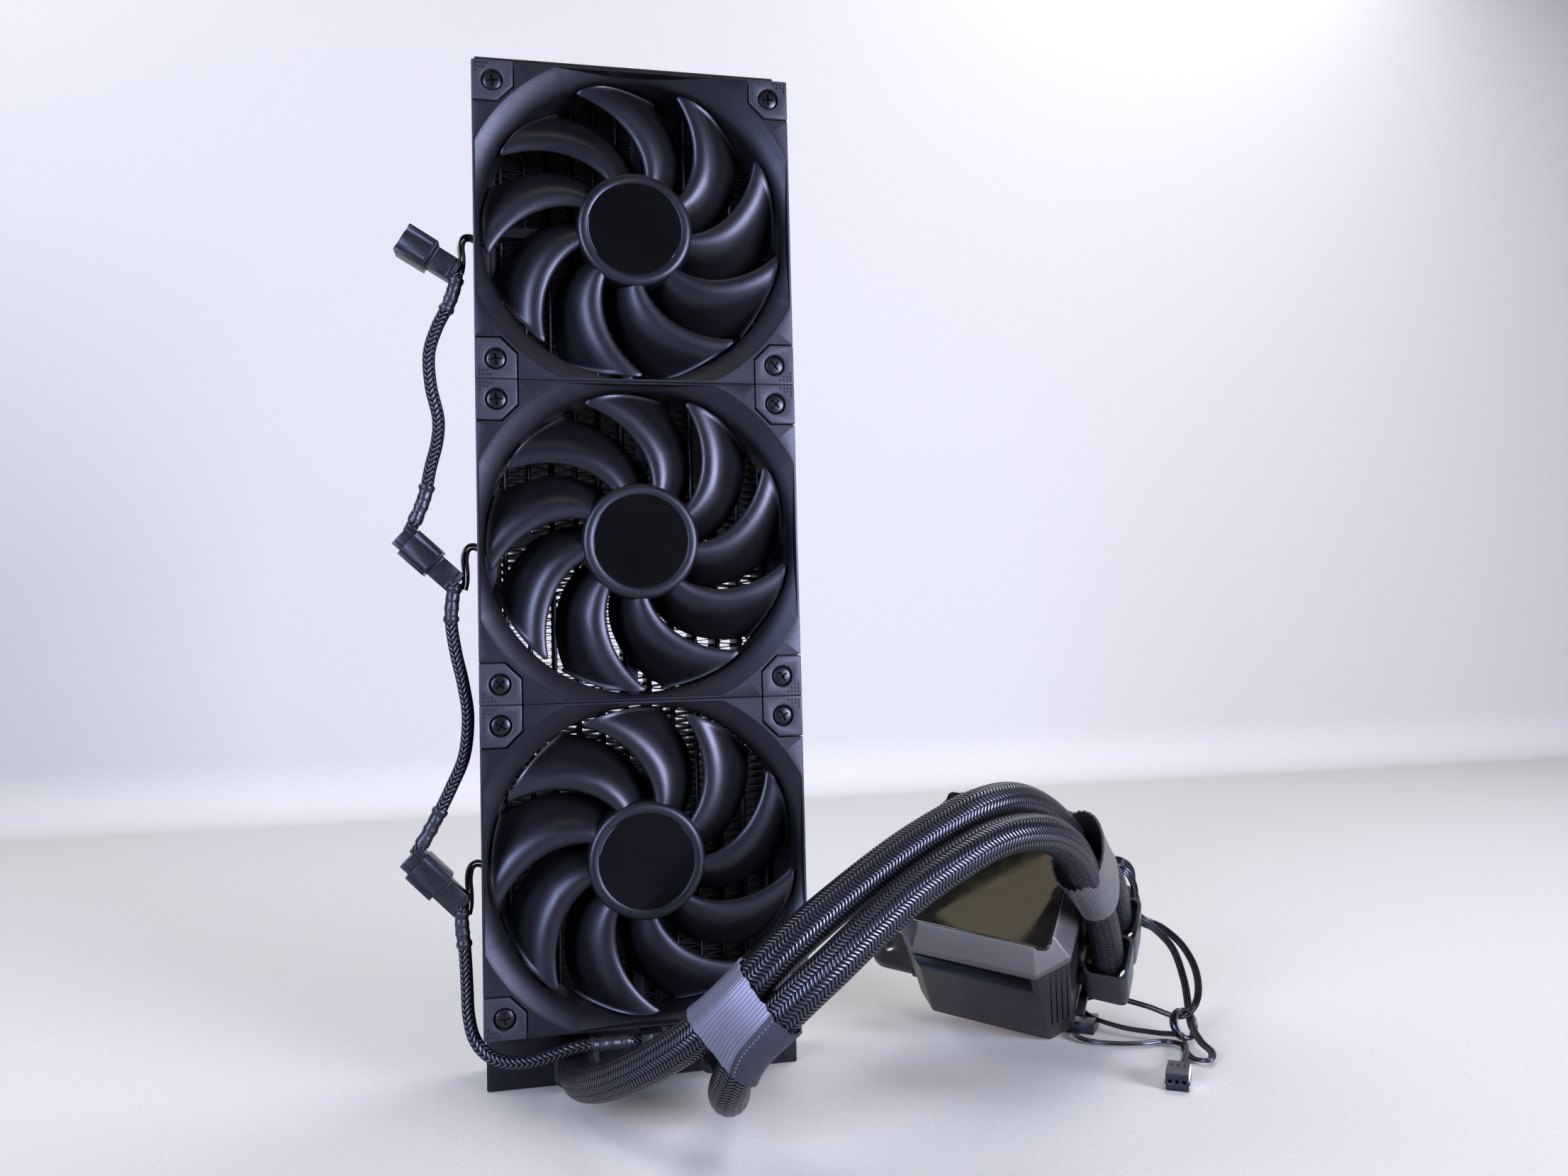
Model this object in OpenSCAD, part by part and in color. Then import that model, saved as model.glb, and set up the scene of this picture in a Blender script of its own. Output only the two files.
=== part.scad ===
// All-in-one liquid cooler: a 360 mm class radiator with three fans, two hoses and a pump block.
// X runs to the right of the fan side, Y runs to the back of the radiator, Z is up.
// The origin is the centre of the end face that the radiator stands on.

/* [Radiator] */
// Width of the radiator
rad_w = 120; // [119:0.5:122]
// Thickness of the radiator
rad_t = 27; // [26.5:0.5:30]
// Length of the radiator, end to end
rad_h = 400; // [399:0.5:402]
// Height of the tank that carries the hose ports
tank_h = 26; // [25:0.5:26.5]
// Wall of the two end tanks
tank_wall = 1.6; // [1.2:0.1:2]
// Number of flat water tubes
tube_count = 12; // [10:1:14]
// Thickness of a flat tube
tube_t = 2; // [1.6:0.1:2.4]
// Depth of the tubes and of the fins
core_d = 20; // [16:1:22]
// Sheet thickness of the side channels
rail_t = 1.2; // [1:0.1:1.5]
// Distance from the middle to each hose port
port_x = 27; // [24:1:30]
// Height of the hose ports
port_z = 12.5; // [11:0.5:13]

/* [Fans] */
// Side of a square fan
fan_size = 120; // [119:0.5:120]
// Depth of a fan
fan_d = 25; // [24.5:0.5:26]
// Height of the lowest fan's lower edge
fan_z0 = 26.5; // [26.5:0.5:28]
// Side of the square on which the four screws of a fan stand
screw_pitch = 105; // [104.5:0.5:105.5]
// Radius of the air duct
duct_r = 58; // [57.5:0.1:58.3]
// Radius of the rotor hub
hub_r = 22.2; // [21:0.1:23]
// Radius of the blade tips
blade_r = 57; // [55:0.1:57.2]
// Number of blades on a rotor
blade_count = 9; // [7:1:9]
// Angle by which a blade's tip leads its root
blade_sweep = 35; // [30:1:40]

/* [Pump] */
// Width of the pump block across its display
pump_w = 71; // [70:0.5:72]
// Height of the display along the pump block's other side
pump_d = 79; // [78:0.5:80]
// Height of the pump block from its base to its glass
pump_h = 68; // [67:0.5:69]
// Angle at which the pump block leans towards the front
pump_lean = 43; // [42:0.5:44]

/* [Hoses and cables] */
// Outer diameter of a sleeved hose
hose_d = 13; // [12:0.5:13]
// Outer diameter of a sleeved fan cable
cable_d = 4.6; // [4:0.1:5]
// Diameter of a fan's own lead
fan_lead_d = 2.8; // [2.4:0.1:3]
// Diameter of a pump lead
pump_lead_d = 2.6; // [2.2:0.1:2.8]

/* [Hidden] */
$fn = 48;

// Colours
black = [0.05, 0.05, 0.06];
dark = [0.1, 0.1, 0.12];
grey = [0.25, 0.25, 0.28];
steel = [0.6, 0.6, 0.62];
copper = [0.72, 0.43, 0.25];
board_green = [0.05, 0.25, 0.12];

// Places worked out from the driving dimensions
fan_names = ["bottom", "middle", "top"];
front_y = -rad_t / 2;
fan_front_y = front_y - fan_d;
upper_z = fan_z0 + 3 * fan_size;
column_w = (rad_w - 2 * rail_t - tube_count * tube_t) / (tube_count + 1);
tube_pitch = column_w + tube_t;
core_z0 = tank_h;
core_len = upper_z - tank_h;
rail_y = rad_t / 2 - rail_t;
screw_r = 1.6;
thread_r = 1.65;
case_thread_r = 1.4;
tab_w = 14;
pad_w = 15.2;
pad_h = 15.3;
pad_t = 5;
pad_chamfer = 6;
rear_pad_t = 1.5;
hub_top = fan_d - 3.6;
hub_bottom = 4.2;
bell_r = 19.4;
base_disc_t = 3;

// The pump block's place: its origin is the middle of its base
pump_pos = [162, 13, 26];
pump_turn = [pump_lean, 8, -36];
elbow_x = 45;
elbow_z = 15;
elbow_front_y = -8;
elbow_rear_y = 10.5;
base_top = 56;

// Routes of the hoses, hand-placed, from the radiator's ports to the pump block's elbows
hose_left_route = [
    [-27, -31, 12.5], [-27, -43, 13], [-25, -57, 15.5], [-20, -71, 20], [-12, -84, 26.5],
    [-2, -96, 35], [9, -106, 45], [22, -113.5, 58.5], [37, -114, 72], [56, -110, 84.5],
    [77, -105, 96.5], [96, -100.5, 105], [109, -96.5, 109], [122, -89.5, 109.5],
    [135, -80, 105.5], [148, -68.5, 98], [160, -57, 88.5], [171, -50.5, 80], [181, -43.5, 71],
    [187, -36, 62], [191.6, -29.6, 53.2], [194.7, -24.2, 46.6]
];
hose_right_route = [
    [27, -31, 12.5], [27, -46, 12.5], [26, -62, 13.5], [23, -78, 15.5], [20, -92, 19],
    [18, -103, 25], [19, -111, 33], [22, -117, 41.5], [29, -121.5, 50], [38, -123.5, 58.5],
    [48, -123.5, 66.5], [61, -121, 76], [78, -117, 87], [96, -113, 95.5], [108, -109, 99.5],
    [120, -104, 100.5], [133, -96, 98], [146, -85, 91], [157, -72, 80], [167, -60.5, 67.5],
    [172.5, -53.5, 59], [176.5, -48, 52], [181, -41.2, 43], [185.3, -34.1, 34.1]
];
// Route of one fan's lead, from the side of its frame, counted from the frame's middle height
fan_lead_route = [
    [-51, -15.9, -1.2], [-56, -15.8, -1.2], [-60, -15.7, -0.6], [-62.6, -15.8, 0],
    [-64.6, -17, -1.2], [-65.4, -19.5, -5], [-65, -22.5, -10],
    [-65, -24.3, -14], [-65.6, -24.6, -17]
];
// Routes of the three fan cables, each from the back of a socket to the next plug
fan_cable_routes = [
    [[-66.5, -28, 308], [-67.5, -28, 303], [-70, -27.5, 296], [-74, -27, 288], [-77, -26.5, 278],
     [-76.5, -26, 266], [-74, -26, 254], [-74.5, -26, 245], [-77, -26, 235], [-79, -26, 225],
     [-82, -26, 217], [-85, -26, 211]],
    [[-68.5, -28, 192], [-69.5, -28, 186], [-70, -28, 177], [-68.5, -27.5, 166], [-66, -27, 154],
     [-64.5, -27, 142], [-66, -27, 128], [-71, -26.5, 116], [-77, -26, 104], [-81, -26, 97],
     [-84, -26, 92.5]],
    [[-67.5, -28, 73], [-67.5, -28, 66], [-66.5, -28, 56], [-66, -28, 44], [-65.5, -29, 34],
     [-63.5, -31, 26], [-59, -33, 20.5], [-52, -35, 17.8], [-44, -37, 18], [-36, -39, 20],
     [-28, -40.5, 22.3], [-20, -40, 22.8], [-12, -38.5, 22.4], [-4, -37, 22]]
];
// Rear corner and lean of each fan socket, from the lowest fan up
socket_places = [[-67, 72.5, 46], [-68, 191.5, 43], [-66.5, 309, 31.6]];
// Routes of the two pump leads: gland, arch, tied knot, loops and plug
pump_lead_routes = [
    [[192.8, -19.4, 73], [199, -22.5, 72], [204.5, -20, 67], [208, -14, 58], [211, -8, 49],
     [217, -5, 43], [225, -7, 39], [231, -13, 32], [232, -21, 23], [227, -29, 14],
     [217, -33, 9.5], [207, -24, 12], [199, -14, 13], [192, -6, 12], [188, -3, 8.5],
     [190, -8, 4.5], [198, -20, 3], [208, -30, 3], [214, -37, 3.5], [210, -49, 2.5],
     [202, -61, 2.5], [194, -71, 3]],
    [[190.8, -21.5, 70.3], [198, -26, 69], [203, -24.5, 62], [207, -18, 52], [212, -12, 44],
     [219, -11, 40], [225, -15, 32], [225, -23, 21], [222, -31, 11.5], [219, -38, 7],
     [217, -48, 4], [216, -57, 3], [212, -62, 2], [208, -58, 1.5], [209, -50, 1.5],
     [212, -42, 1.5], [207, -36, 1.5], [197, -36, 1.5], [186, -32.5, 1.5], [178.5, -26.5, 1.5],
     [177, -19.5, 1.5], [181, -14, 1.5]]
];

// ---- Sweeps ------------------------------------------------------------------------------

// A point on a smooth curve through p at step i, fraction t
function clamp_at(p, i) = p[min(max(i, 0), len(p) - 1)];
function smooth(p, i, t) =
    let (a = clamp_at(p, i - 1), b = p[i], c = clamp_at(p, i + 1), d = clamp_at(p, i + 2))
    0.5 * (2 * b + (c - a) * t + (2 * a - 5 * b + 4 * c - d) * t * t
           + (3 * b - a - 3 * c + d) * t * t * t);
function dense(p, n) =
    concat([for (i = [0:len(p) - 2], k = [0:n - 1]) smooth(p, i, k / n)], [p[len(p) - 1]]);
function unit(v) = v / norm(v);
function tangent(p, i) = unit(clamp_at(p, i + 1) - clamp_at(p, i - 1));
// Side vectors carried from ring to ring, so that the tube doesn't twist
function carried(p, i, side) = unit(side - (side * tangent(p, i)) * tangent(p, i));
function sides(p) =
    [for (i = 0, s = carried(p, 0, [0.3, 0.5, 0.8]); i < len(p);
          i = i + 1, s = i < len(p) ? carried(p, i, s) : s) s];

// A round tube of diameter d swept along the points of route
module tube_along(route, d, facets, steps = 3) {
    p = dense(route, steps);
    s = sides(p);
    rings = len(p);
    points = [
        for (i = [0:rings - 1], k = [0:facets - 1])
            let (t = tangent(p, i), u = s[i], v = cross(t, u), a = 360 * k / facets)
            p[i] + d / 2 * (cos(a) * u + sin(a) * v)
    ];
    walls = [
        for (i = [0:rings - 2], k = [0:facets - 1])
            let (a = i * facets + k, b = i * facets + (k + 1) % facets)
            each [[a, a + facets, b], [b, a + facets, b + facets]]
    ];
    caps = [[for (k = [0:facets - 1]) k],
            [for (k = [facets - 1:-1:0]) (rings - 1) * facets + k]];
    polyhedron(points = points, faces = concat(walls, caps), convexity = 10);
}

// ---- Shared shapes -----------------------------------------------------------------------

// A block centred in X and Y, standing on z0
module block(w, d, z0, z1) {
    translate([-w / 2, -d / 2, z0])
        cube([w, d, z1 - z0]);
}

// A ring about Z
module ring(r_out, r_in, z0, z1) {
    translate([0, 0, z0])
        difference() {
            cylinder(r = r_out, h = z1 - z0);
            translate([0, 0, -1])
                cylinder(r = r_in, h = z1 - z0 + 2);
        }
}

// A rectangle with round corners, centred
module round_rect(w, h, r) {
    union() {
        square([w - 2 * r, h], center = true);
        square([w, h - 2 * r], center = true);
        for (x = [-1, 1], y = [-1, 1])
            translate([x * (w / 2 - r), y * (h / 2 - r)])
                circle(r = r);
    }
}

// A rectangle with cut corners, as a list of points
function cut_rect(w, h, c) = [
    [-w / 2 + c, -h / 2], [w / 2 - c, -h / 2], [w / 2, -h / 2 + c], [w / 2, h / 2 - c],
    [w / 2 - c, h / 2], [-w / 2 + c, h / 2], [-w / 2, h / 2 - c], [-w / 2, -h / 2 + c]
];

// A solid between two cut rectangles at two heights
module cut_prism(w0, h0, c0, z0, w1, h1, c1, z1) {
    low = [for (p = cut_rect(w0, h0, c0)) [p[0], p[1], z0]];
    high = [for (p = cut_rect(w1, h1, c1)) [p[0], p[1], z1]];
    walls = [for (k = [0:7]) [k, k + 8, (k + 1) % 8 + 8, (k + 1) % 8]];
    polyhedron(points = concat(low, high),
               faces = concat(walls, [[for (k = [0:7]) k], [for (k = [15:-1:8]) k]]));
}

// Fan coordinates: X right, Y up, Z towards the front, from the middle of the fan's back face
module at_fan(i) {
    translate([0, front_y, fan_z0 + fan_size * (i + 0.5)])
        rotate([90, 0, 0])
            children();
}

module at_screws() {
    for (x = [-1, 1], y = [-1, 1])
        translate([x * screw_pitch / 2, y * screw_pitch / 2, 0])
            children();
}

module at_pump() {
    translate(pump_pos)
        rotate(pump_turn)
            children();
}

// ---- Radiator ----------------------------------------------------------------------------

function tube_x(i) = (i - (tube_count - 1) / 2) * tube_pitch;

module core_tubes() {
    color(dark)
    for (i = [0:tube_count - 1])
        translate([tube_x(i), 0, 0])
            difference() {
                block(tube_t, core_d, core_z0 - tank_wall, upper_z + tank_wall);
                block(tube_t - 0.8, core_d - 0.8, core_z0 - 3, upper_z + 3);
            }
}

// One folded fin strip: a zigzag sheet that runs up between two tubes
module fin_strip() {
    folds = 36;
    step = core_len / folds;
    sheet = 0.5;
    reach = column_w / 2;
    side_a = [for (i = [0:folds]) [(i % 2 == 0 ? -1 : 1) * (reach - (i % 2 == 0 ? 0 : sheet)), i * step]];
    side_b = [for (i = [folds:-1:0]) [(i % 2 == 0 ? -1 : 1) * (reach - (i % 2 == 0 ? sheet : 0)), i * step]];
    translate([0, core_d / 2, core_z0])
        rotate([90, 0, 0])
            linear_extrude(core_d)
                polygon(concat(side_a, side_b));
}

module core_fins() {
    color(grey)
    for (i = [0:tube_count])
        translate([tube_x(i) - tube_pitch / 2, 0, 0])
            fin_strip();
}

module header_plate(z0) {
    difference() {
        block(rad_w - 2 * tank_wall, rad_t - 2 * tank_wall, z0, z0 + tank_wall);
        for (i = [0:tube_count - 1])
            translate([tube_x(i), 0, 0])
                block(tube_t, core_d, z0 - 1, z0 + tank_wall + 1);
    }
}

module header_plates() {
    color(dark) {
        header_plate(core_z0 - tank_wall);
        header_plate(upper_z);
    }
}

module upper_tank() {
    color(black)
    difference() {
        block(rad_w, rad_t, upper_z, rad_h);
        block(rad_w - 2 * tank_wall, rad_t - 2 * tank_wall, upper_z - 1, rad_h - tank_wall);
    }
}

plug_x = 14;
module lower_tank() {
    color(black)
    difference() {
        union() {
            difference() {
                block(rad_w, rad_t, 0, tank_h);
                block(rad_w - 2 * tank_wall, rad_t - 2 * tank_wall, tank_wall, tank_h + 1);
            }
            translate([plug_x, rad_t / 2 - 5, port_z])
                rotate([-90, 0, 0])
                    cylinder(r = 7.5, h = 5 - tank_wall / 2);
        }
        for (x = [-port_x, port_x])
            translate([x, 0, port_z])
                rotate([90, 0, 0])
                    cylinder(r = 4.5, h = rad_t);
        translate([plug_x, 0, port_z])
            rotate([-90, 0, 0])
                cylinder(r = 4, h = rad_t);
        translate([plug_x, rad_t / 2 - 2.6, port_z])
            rotate([-90, 0, 0])
                cylinder(r = 6, h = 5);
    }
}

module tank_divider() {
    color(dark)
    block(1.2, rad_t - 2 * tank_wall, tank_wall, core_z0 - tank_wall);
}

// One side channel: a folded sheet with a screw tab behind and in front of each fan screw
module side_rail() {
    flange_w = 7.5;
    translate([rad_w / 2 - rail_t, -rad_t / 2, tank_h])
        cube([rail_t, rad_t, core_len]);
    for (y = [-rad_t / 2, rail_y])
        translate([rad_w / 2 - flange_w, y, tank_h])
            cube([flange_w, rail_t, core_len]);
    for (y = [-rad_t / 2, rail_y], i = [0:2], s = [-1, 1])
        translate([rad_w / 2 - tab_w, y, fan_z0 + fan_size * (i + 0.5) + s * screw_pitch / 2 - 7])
            cube([tab_w, rail_t, 14]);
}

module side_rails() {
    color(black)
    for (m = [0, 1])
        mirror([m, 0, 0])
            difference() {
                side_rail();
                for (i = [0:2], s = [-1, 1])
                    translate([screw_pitch / 2, 0, fan_z0 + fan_size * (i + 0.5) + s * screw_pitch / 2]) {
                        rotate([90, 0, 0])
                            cylinder(r = thread_r, h = rad_t);
                        rotate([-90, 0, 0])
                            cylinder(r = case_thread_r, h = rad_t);
                    }
            }
}

module hose_barbs() {
    color(grey)
    for (x = [-port_x, port_x])
        translate([x, front_y + tank_wall + 2, port_z])
            rotate([90, 0, 0])
                difference() {
                    union() {
                        cylinder(r = 4.5, h = 17.5 + tank_wall + 2);
                        translate([0, 0, tank_wall + 2])
                            cylinder(r = 7, h = 1.5);
                    }
                    translate([0, 0, -1])
                        cylinder(r = 2.8, h = 30);
                }
}

module port_collars() {
    color(dark)
    for (x = [-port_x, port_x])
        translate([x, front_y - 1.5, port_z])
            rotate([90, 0, 0])
                linear_extrude(15.5)
                    difference() {
                        round_rect(16.4, 15, 4);
                        circle(r = 4.5);
                    }
}

module fill_plug() {
    color(grey)
    translate([plug_x, rad_t / 2, port_z])
        rotate([90, 0, 0])
            difference() {
                union() {
                    cylinder(r = 5.8, h = 1.6);
                    cylinder(r = 4, h = 5);
                }
                translate([0, 0, -1])
                    cylinder(r = 2.3, h = 3.5, $fn = 6);
            }
}

module plug_seal() {
    color("black")
    translate([plug_x, rad_t / 2, port_z])
        rotate([90, 0, 0])
            ring(5.6, 4, 1.6, 2.6);
}

// ---- Fans --------------------------------------------------------------------------------

// The four corner squares of a fan with their inner corner cut, for the pads and their pockets
module pad_outline(grow) {
    w = pad_w + grow;
    h = pad_h + grow;
    for (x = [-1, 1], y = [-1, 1])
        scale([x, y])
            translate([fan_size / 2, fan_size / 2])
                polygon([[0, 0], [-w, 0], [-w, -h + pad_chamfer], [-w + pad_chamfer, -h], [0, -h]]);
}

module fan_frame() {
    funnel_r = 65.8;
    funnel_z = 18;
    wall = 2.4;
    difference() {
        linear_extrude(fan_d)
            round_rect(fan_size, fan_size, 2);
        translate([0, 0, -1])
            cylinder(r = duct_r, h = fan_d + 2, $fn = 96);
        intersection() {
            translate([0, 0, funnel_z])
                cylinder(r1 = duct_r, r2 = funnel_r, h = fan_d - funnel_z + 0.01, $fn = 96);
            block(fan_size - 2, fan_size - 2, 13, fan_d + 1);
        }
        for (z = [fan_d - pad_t, -1])
            translate([0, 0, z])
                linear_extrude(z < 0 ? rear_pad_t + 1 : pad_t + 1)
                    pad_outline(0.3);
        at_screws()
            translate([0, 0, -1])
                cylinder(r = 2.2, h = fan_d + 2);
        // Open corners between the two flanges, outside the duct wall
        difference() {
            for (x = [-1, 1], y = [-1, 1])
                translate([x * fan_size / 2, y * fan_size / 2, 5])
                    block(50, 50, 0, 11);
            translate([0, 0, 4])
                cylinder(r = duct_r + wall, h = 13, $fn = 96);
            at_screws()
                translate([0, 0, 4])
                    cylinder(r = 4.5, h = 13);
        }
        // Notch for the lead in the left side
        translate([-fan_size / 2, -0.8, 2.4])
            block(8, 3.4, -1.6, 1.6);
    }
    // Motor mount, its four arms and the bearing tube
    difference() {
        union() {
            cylinder(r = 20.5, h = base_disc_t);
            for (a = [0:90:270])
                rotate([0, 0, a])
                    translate([18, -4.5, 0])
                        cube([duct_r - 17.5, 4, base_disc_t]);
            cylinder(r = 5.4, h = 14.6);
        }
        translate([0, 0, 1.2])
            cylinder(r = 4, h = 20);
    }
}

module fan_frame_bottom() {
    color(dark)
    at_fan(0)
        fan_frame();
}

module fan_frame_middle() {
    color(dark)
    at_fan(1)
        fan_frame();
}

module fan_frame_top() {
    color(dark)
    at_fan(2)
        fan_frame();
}

module front_pads() {
    color(grey)
    for (i = [0:2])
        at_fan(i)
            difference() {
                translate([0, 0, fan_d - pad_t])
                    linear_extrude(pad_t + 0.3)
                        pad_outline(0);
                at_screws()
                    union() {
                        cylinder(r = 2.2, h = 40);
                        translate([0, 0, fan_d - 2.4])
                            cylinder(r = 4, h = 10);
                    }
            }
}

module rear_pads() {
    color(grey)
    for (i = [0:2])
        at_fan(i)
            difference() {
                linear_extrude(rear_pad_t)
                    pad_outline(0);
                at_screws()
                    translate([0, 0, -1])
                        cylinder(r = 2.2, h = 5);
            }
}

module fan_screw() {
    difference() {
        union() {
            translate([0, 0, -3.5])
                cylinder(r = screw_r, h = fan_d + 1.2);
            translate([0, 0, fan_d - 2.4])
                cylinder(r = 3.55, h = 2.1);
        }
        for (a = [0, 90])
            rotate([0, 0, a])
                block(4, 0.9, fan_d - 1.5, fan_d + 1);
    }
}

module fan_screws() {
    color("black")
    for (i = [0:2])
        at_fan(i)
            at_screws()
                fan_screw();
}

module fan_stators() {
    color(steel)
    for (i = [0:2])
        at_fan(i)
            union() {
                ring(7.6, 5.4, 6.5, 12.5);
                for (a = [45:90:315])
                    rotate([0, 0, a]) {
                        translate([7.2, -1.5, 7.5])
                            cube([6.6, 3, 4]);
                        difference() {
                            translate([13, -6.5, 6.5])
                                cube([3, 13, 6]);
                            ring(30, 15.8, 5, 14);
                        }
                    }
            }
}

module stator_coils() {
    color(copper)
    for (i = [0:2])
        at_fan(i)
            for (a = [45:90:315])
                rotate([0, 0, a])
                    translate([8, 0, 0])
                        difference() {
                            translate([0, -3.5, 5.8])
                                cube([4.6, 7, 7.4]);
                            translate([-1, -1.5, 7.5])
                                cube([7, 3, 4]);
                        }
}

module fan_boards() {
    color(board_green)
    for (i = [0:2])
        at_fan(i)
            ring(17, 5.4, base_disc_t, base_disc_t + 1);
}

module fan_bearings() {
    color(copper)
    for (i = [0:2])
        at_fan(i)
            ring(4, 1.55, 3.6, 14.2);
}

// How far a blade lies below its highest line: a rolled leading edge, then an even slope
function blade_drop(s, width) =
    let (
        w1 = min(4.5, 0.2 * width),
        w2 = min(16, 0.72 * width),
        slope = 14.4 / (width - (w1 + w2) / 2),
        w = s * width
    )
    w < w2 ? slope * pow(w - w1, 2) / (2 * (w2 - w1)) : slope * (w - (w1 + w2) / 2);

// A point of a blade: u runs from the root to the tip, s from the leading to the trailing edge
function blade_point(u, s, back) =
    let (
        r = hub_r - 0.9 + u * (blade_r - hub_r + 0.9),
        lead = blade_sweep * pow(u, 1.25),
        chord = 38 - 5.5 * u,
        a = lead - chord * s,
        z = hub_top - 1 - blade_drop(s, chord * PI / 180 * r) - back * (1.7 - 0.6 * u)
    )
    [r * cos(a), r * sin(a), z];

module blade() {
    nu = 7;
    ns = 5;
    points = [for (back = [0, 1], i = [0:nu], j = [0:ns]) blade_point(i / nu, j / ns, back)];
    w = ns + 1;
    layer = (nu + 1) * w;
    skin = [
        for (i = [0:nu - 1], j = [0:ns - 1])
            let (a = i * w + j)
            each [
                [a, a + w, a + 1], [a + 1, a + w, a + w + 1],
                [layer + a, layer + a + 1, layer + a + w],
                [layer + a + 1, layer + a + w + 1, layer + a + w]
            ]
    ];
    edges = [
        for (i = [0:nu - 1], j = [0, ns])
            let (a = i * w + j, b = a + w)
            each (j == 0 ? [[a, layer + a, b], [b, layer + a, layer + b]]
                         : [[a, b, layer + a], [b, layer + b, layer + a]])
    ];
    ends = [
        for (j = [0:ns - 1], i = [0, nu])
            let (a = i * w + j, b = a + 1)
            each (i == 0 ? [[a, b, layer + a], [b, layer + b, layer + a]]
                         : [[a, layer + a, b], [b, layer + a, layer + b]])
    ];
    polyhedron(points = points, faces = concat(skin, edges, ends), convexity = 6);
}

module fan_rotor() {
    badge_pocket = 0.6;
    rotate_extrude()
        polygon([
            [0, hub_top - badge_pocket], [17.9, hub_top - badge_pocket], [17.9, hub_top],
            [hub_r - 1.2, hub_top], [hub_r, hub_top - 1.2], [hub_r, hub_bottom],
            [bell_r, hub_bottom], [bell_r, 17.5], [0, 17.5]
        ]);
    for (k = [0:blade_count - 1])
        rotate([0, 0, 78.9 + 360 * k / blade_count])
            blade();
}

module hub_badge() {
    translate([0, 0, hub_top - 0.6])
        cylinder(r = 17.8, h = 0.7);
}

// Steel bell, ring magnet and shaft, pressed into each other and turning as one
module motor_bell() {
    union() {
        ring(bell_r, 18.6, 5, 17.5);
        ring(18.6, 1.5, 16.7, 17.5);
        ring(3, 1.5, 14.9, 16.7);
    }
    ring(18.6, 16.6, 5.2, 13.5);
    translate([0, 0, 2.2])
        cylinder(r = 1.5, h = 15.3);
}

module fan_rotor_bottom() {
    color(dark)
    at_fan(0)
        fan_rotor();
}

module fan_rotor_middle() {
    color(dark)
    at_fan(1)
        fan_rotor();
}

module fan_rotor_top() {
    color(dark)
    at_fan(2)
        fan_rotor();
}

module hub_badge_bottom() {
    color(black)
    at_fan(0)
        hub_badge();
}

module hub_badge_middle() {
    color(black)
    at_fan(1)
        hub_badge();
}

module hub_badge_top() {
    color(black)
    at_fan(2)
        hub_badge();
}

module motor_bell_bottom() {
    color(steel)
    at_fan(0)
        motor_bell();
}

module motor_bell_middle() {
    color(steel)
    at_fan(1)
        motor_bell();
}

module motor_bell_top() {
    color(steel)
    at_fan(2)
        motor_bell();
}

// ---- Pump block --------------------------------------------------------------------------

module pump_housing() {
    wall = 2.2;
    color(dark)
    at_pump()
        difference() {
            cut_prism(66, 66, 8, 0, pump_w - 1.5, pump_d - 3, 10, base_top);
            cut_prism(66 - 2 * wall, 66 - 2 * wall, 7, 9, pump_w - 1.5 - 2 * wall,
                      pump_d - 3 - 2 * wall, 9, base_top + 0.01);
            // Pocket for the cold plate, its gasket and the jet plate
            block(56.4, 56.4, -1, 4);
            block(50, 50, 3, 9.5);
            for (y = [elbow_front_y, elbow_rear_y])
                translate([20, y, elbow_z])
                    rotate([0, 90, 0])
                        cylinder(r = 4.6, h = 30);
            translate([30, 28, 44])
                cube([12, 9, 5], center = true);
        }
}

module display_bezel() {
    color(grey)
    at_pump()
        difference() {
            union() {
                cut_prism(pump_w, pump_d, 11, base_top, pump_w, pump_d, 11, base_top + 3);
                cut_prism(pump_w, pump_d, 11, base_top + 3, pump_w - 13, pump_d - 13, 6, pump_h);
            }
            block(57.6, 65.6, pump_h - 2, pump_h + 1);
            block(52, 60, base_top - 1, pump_h + 1);
        }
}

module display_glass() {
    color(black)
    at_pump()
        translate([0, 0, pump_h - 2])
            linear_extrude(2.1)
                round_rect(57.4, 65.4, 2.5);
}

module display_panel() {
    color("black")
    at_pump()
        block(51, 59, pump_h - 5.5, pump_h - 2);
}

module pump_board() {
    color(board_green)
    at_pump()
        block(51.6, 59.6, base_top + 1, base_top + 2.6);
}

module pump_stator() {
    color(steel)
    at_pump()
        difference() {
            ring(24, 15.4, 22, 36);
            for (a = [0:60:300])
                rotate([0, 0, a])
                    translate([19.5, 0, 21])
                        block(5, 6, 0, 20);
        }
}

module pump_shaft() {
    color(steel)
    at_pump()
        translate([0, 0, 7.5])
            cylinder(r = 1.5, h = 27.5);
}

// Magnet drum, disc and six straight vanes, turning on the fixed shaft
module pump_impeller() {
    color("white")
    at_pump()
        difference() {
            union() {
                translate([0, 0, 16.5])
                    cylinder(r = 12.8, h = 15.5);
                translate([0, 0, 13.5])
                    cylinder(r = 17, h = 3.2);
                for (a = [0:60:300])
                    rotate([0, 0, a])
                        translate([4, -0.6, 11])
                            cube([11, 1.2, 3]);
                translate([0, 0, 11])
                    cylinder(r = 4.5, h = 3);
            }
            translate([0, 0, 5])
                cylinder(r = 1.55, h = 40);
        }
}

// The can that keeps the water off the stator, with the flange that closes the water chamber
module rotor_can() {
    color(dark)
    at_pump()
        difference() {
            union() {
                ring(28, 13.6, 18, 20);
                translate([0, 0, 18])
                    cylinder(r = 15, h = 18);
            }
            translate([0, 0, 17])
                cylinder(r = 13.6, h = 16);
            translate([0, 0, 17])
                cylinder(r = 1.5, h = 18);
        }
}

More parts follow.
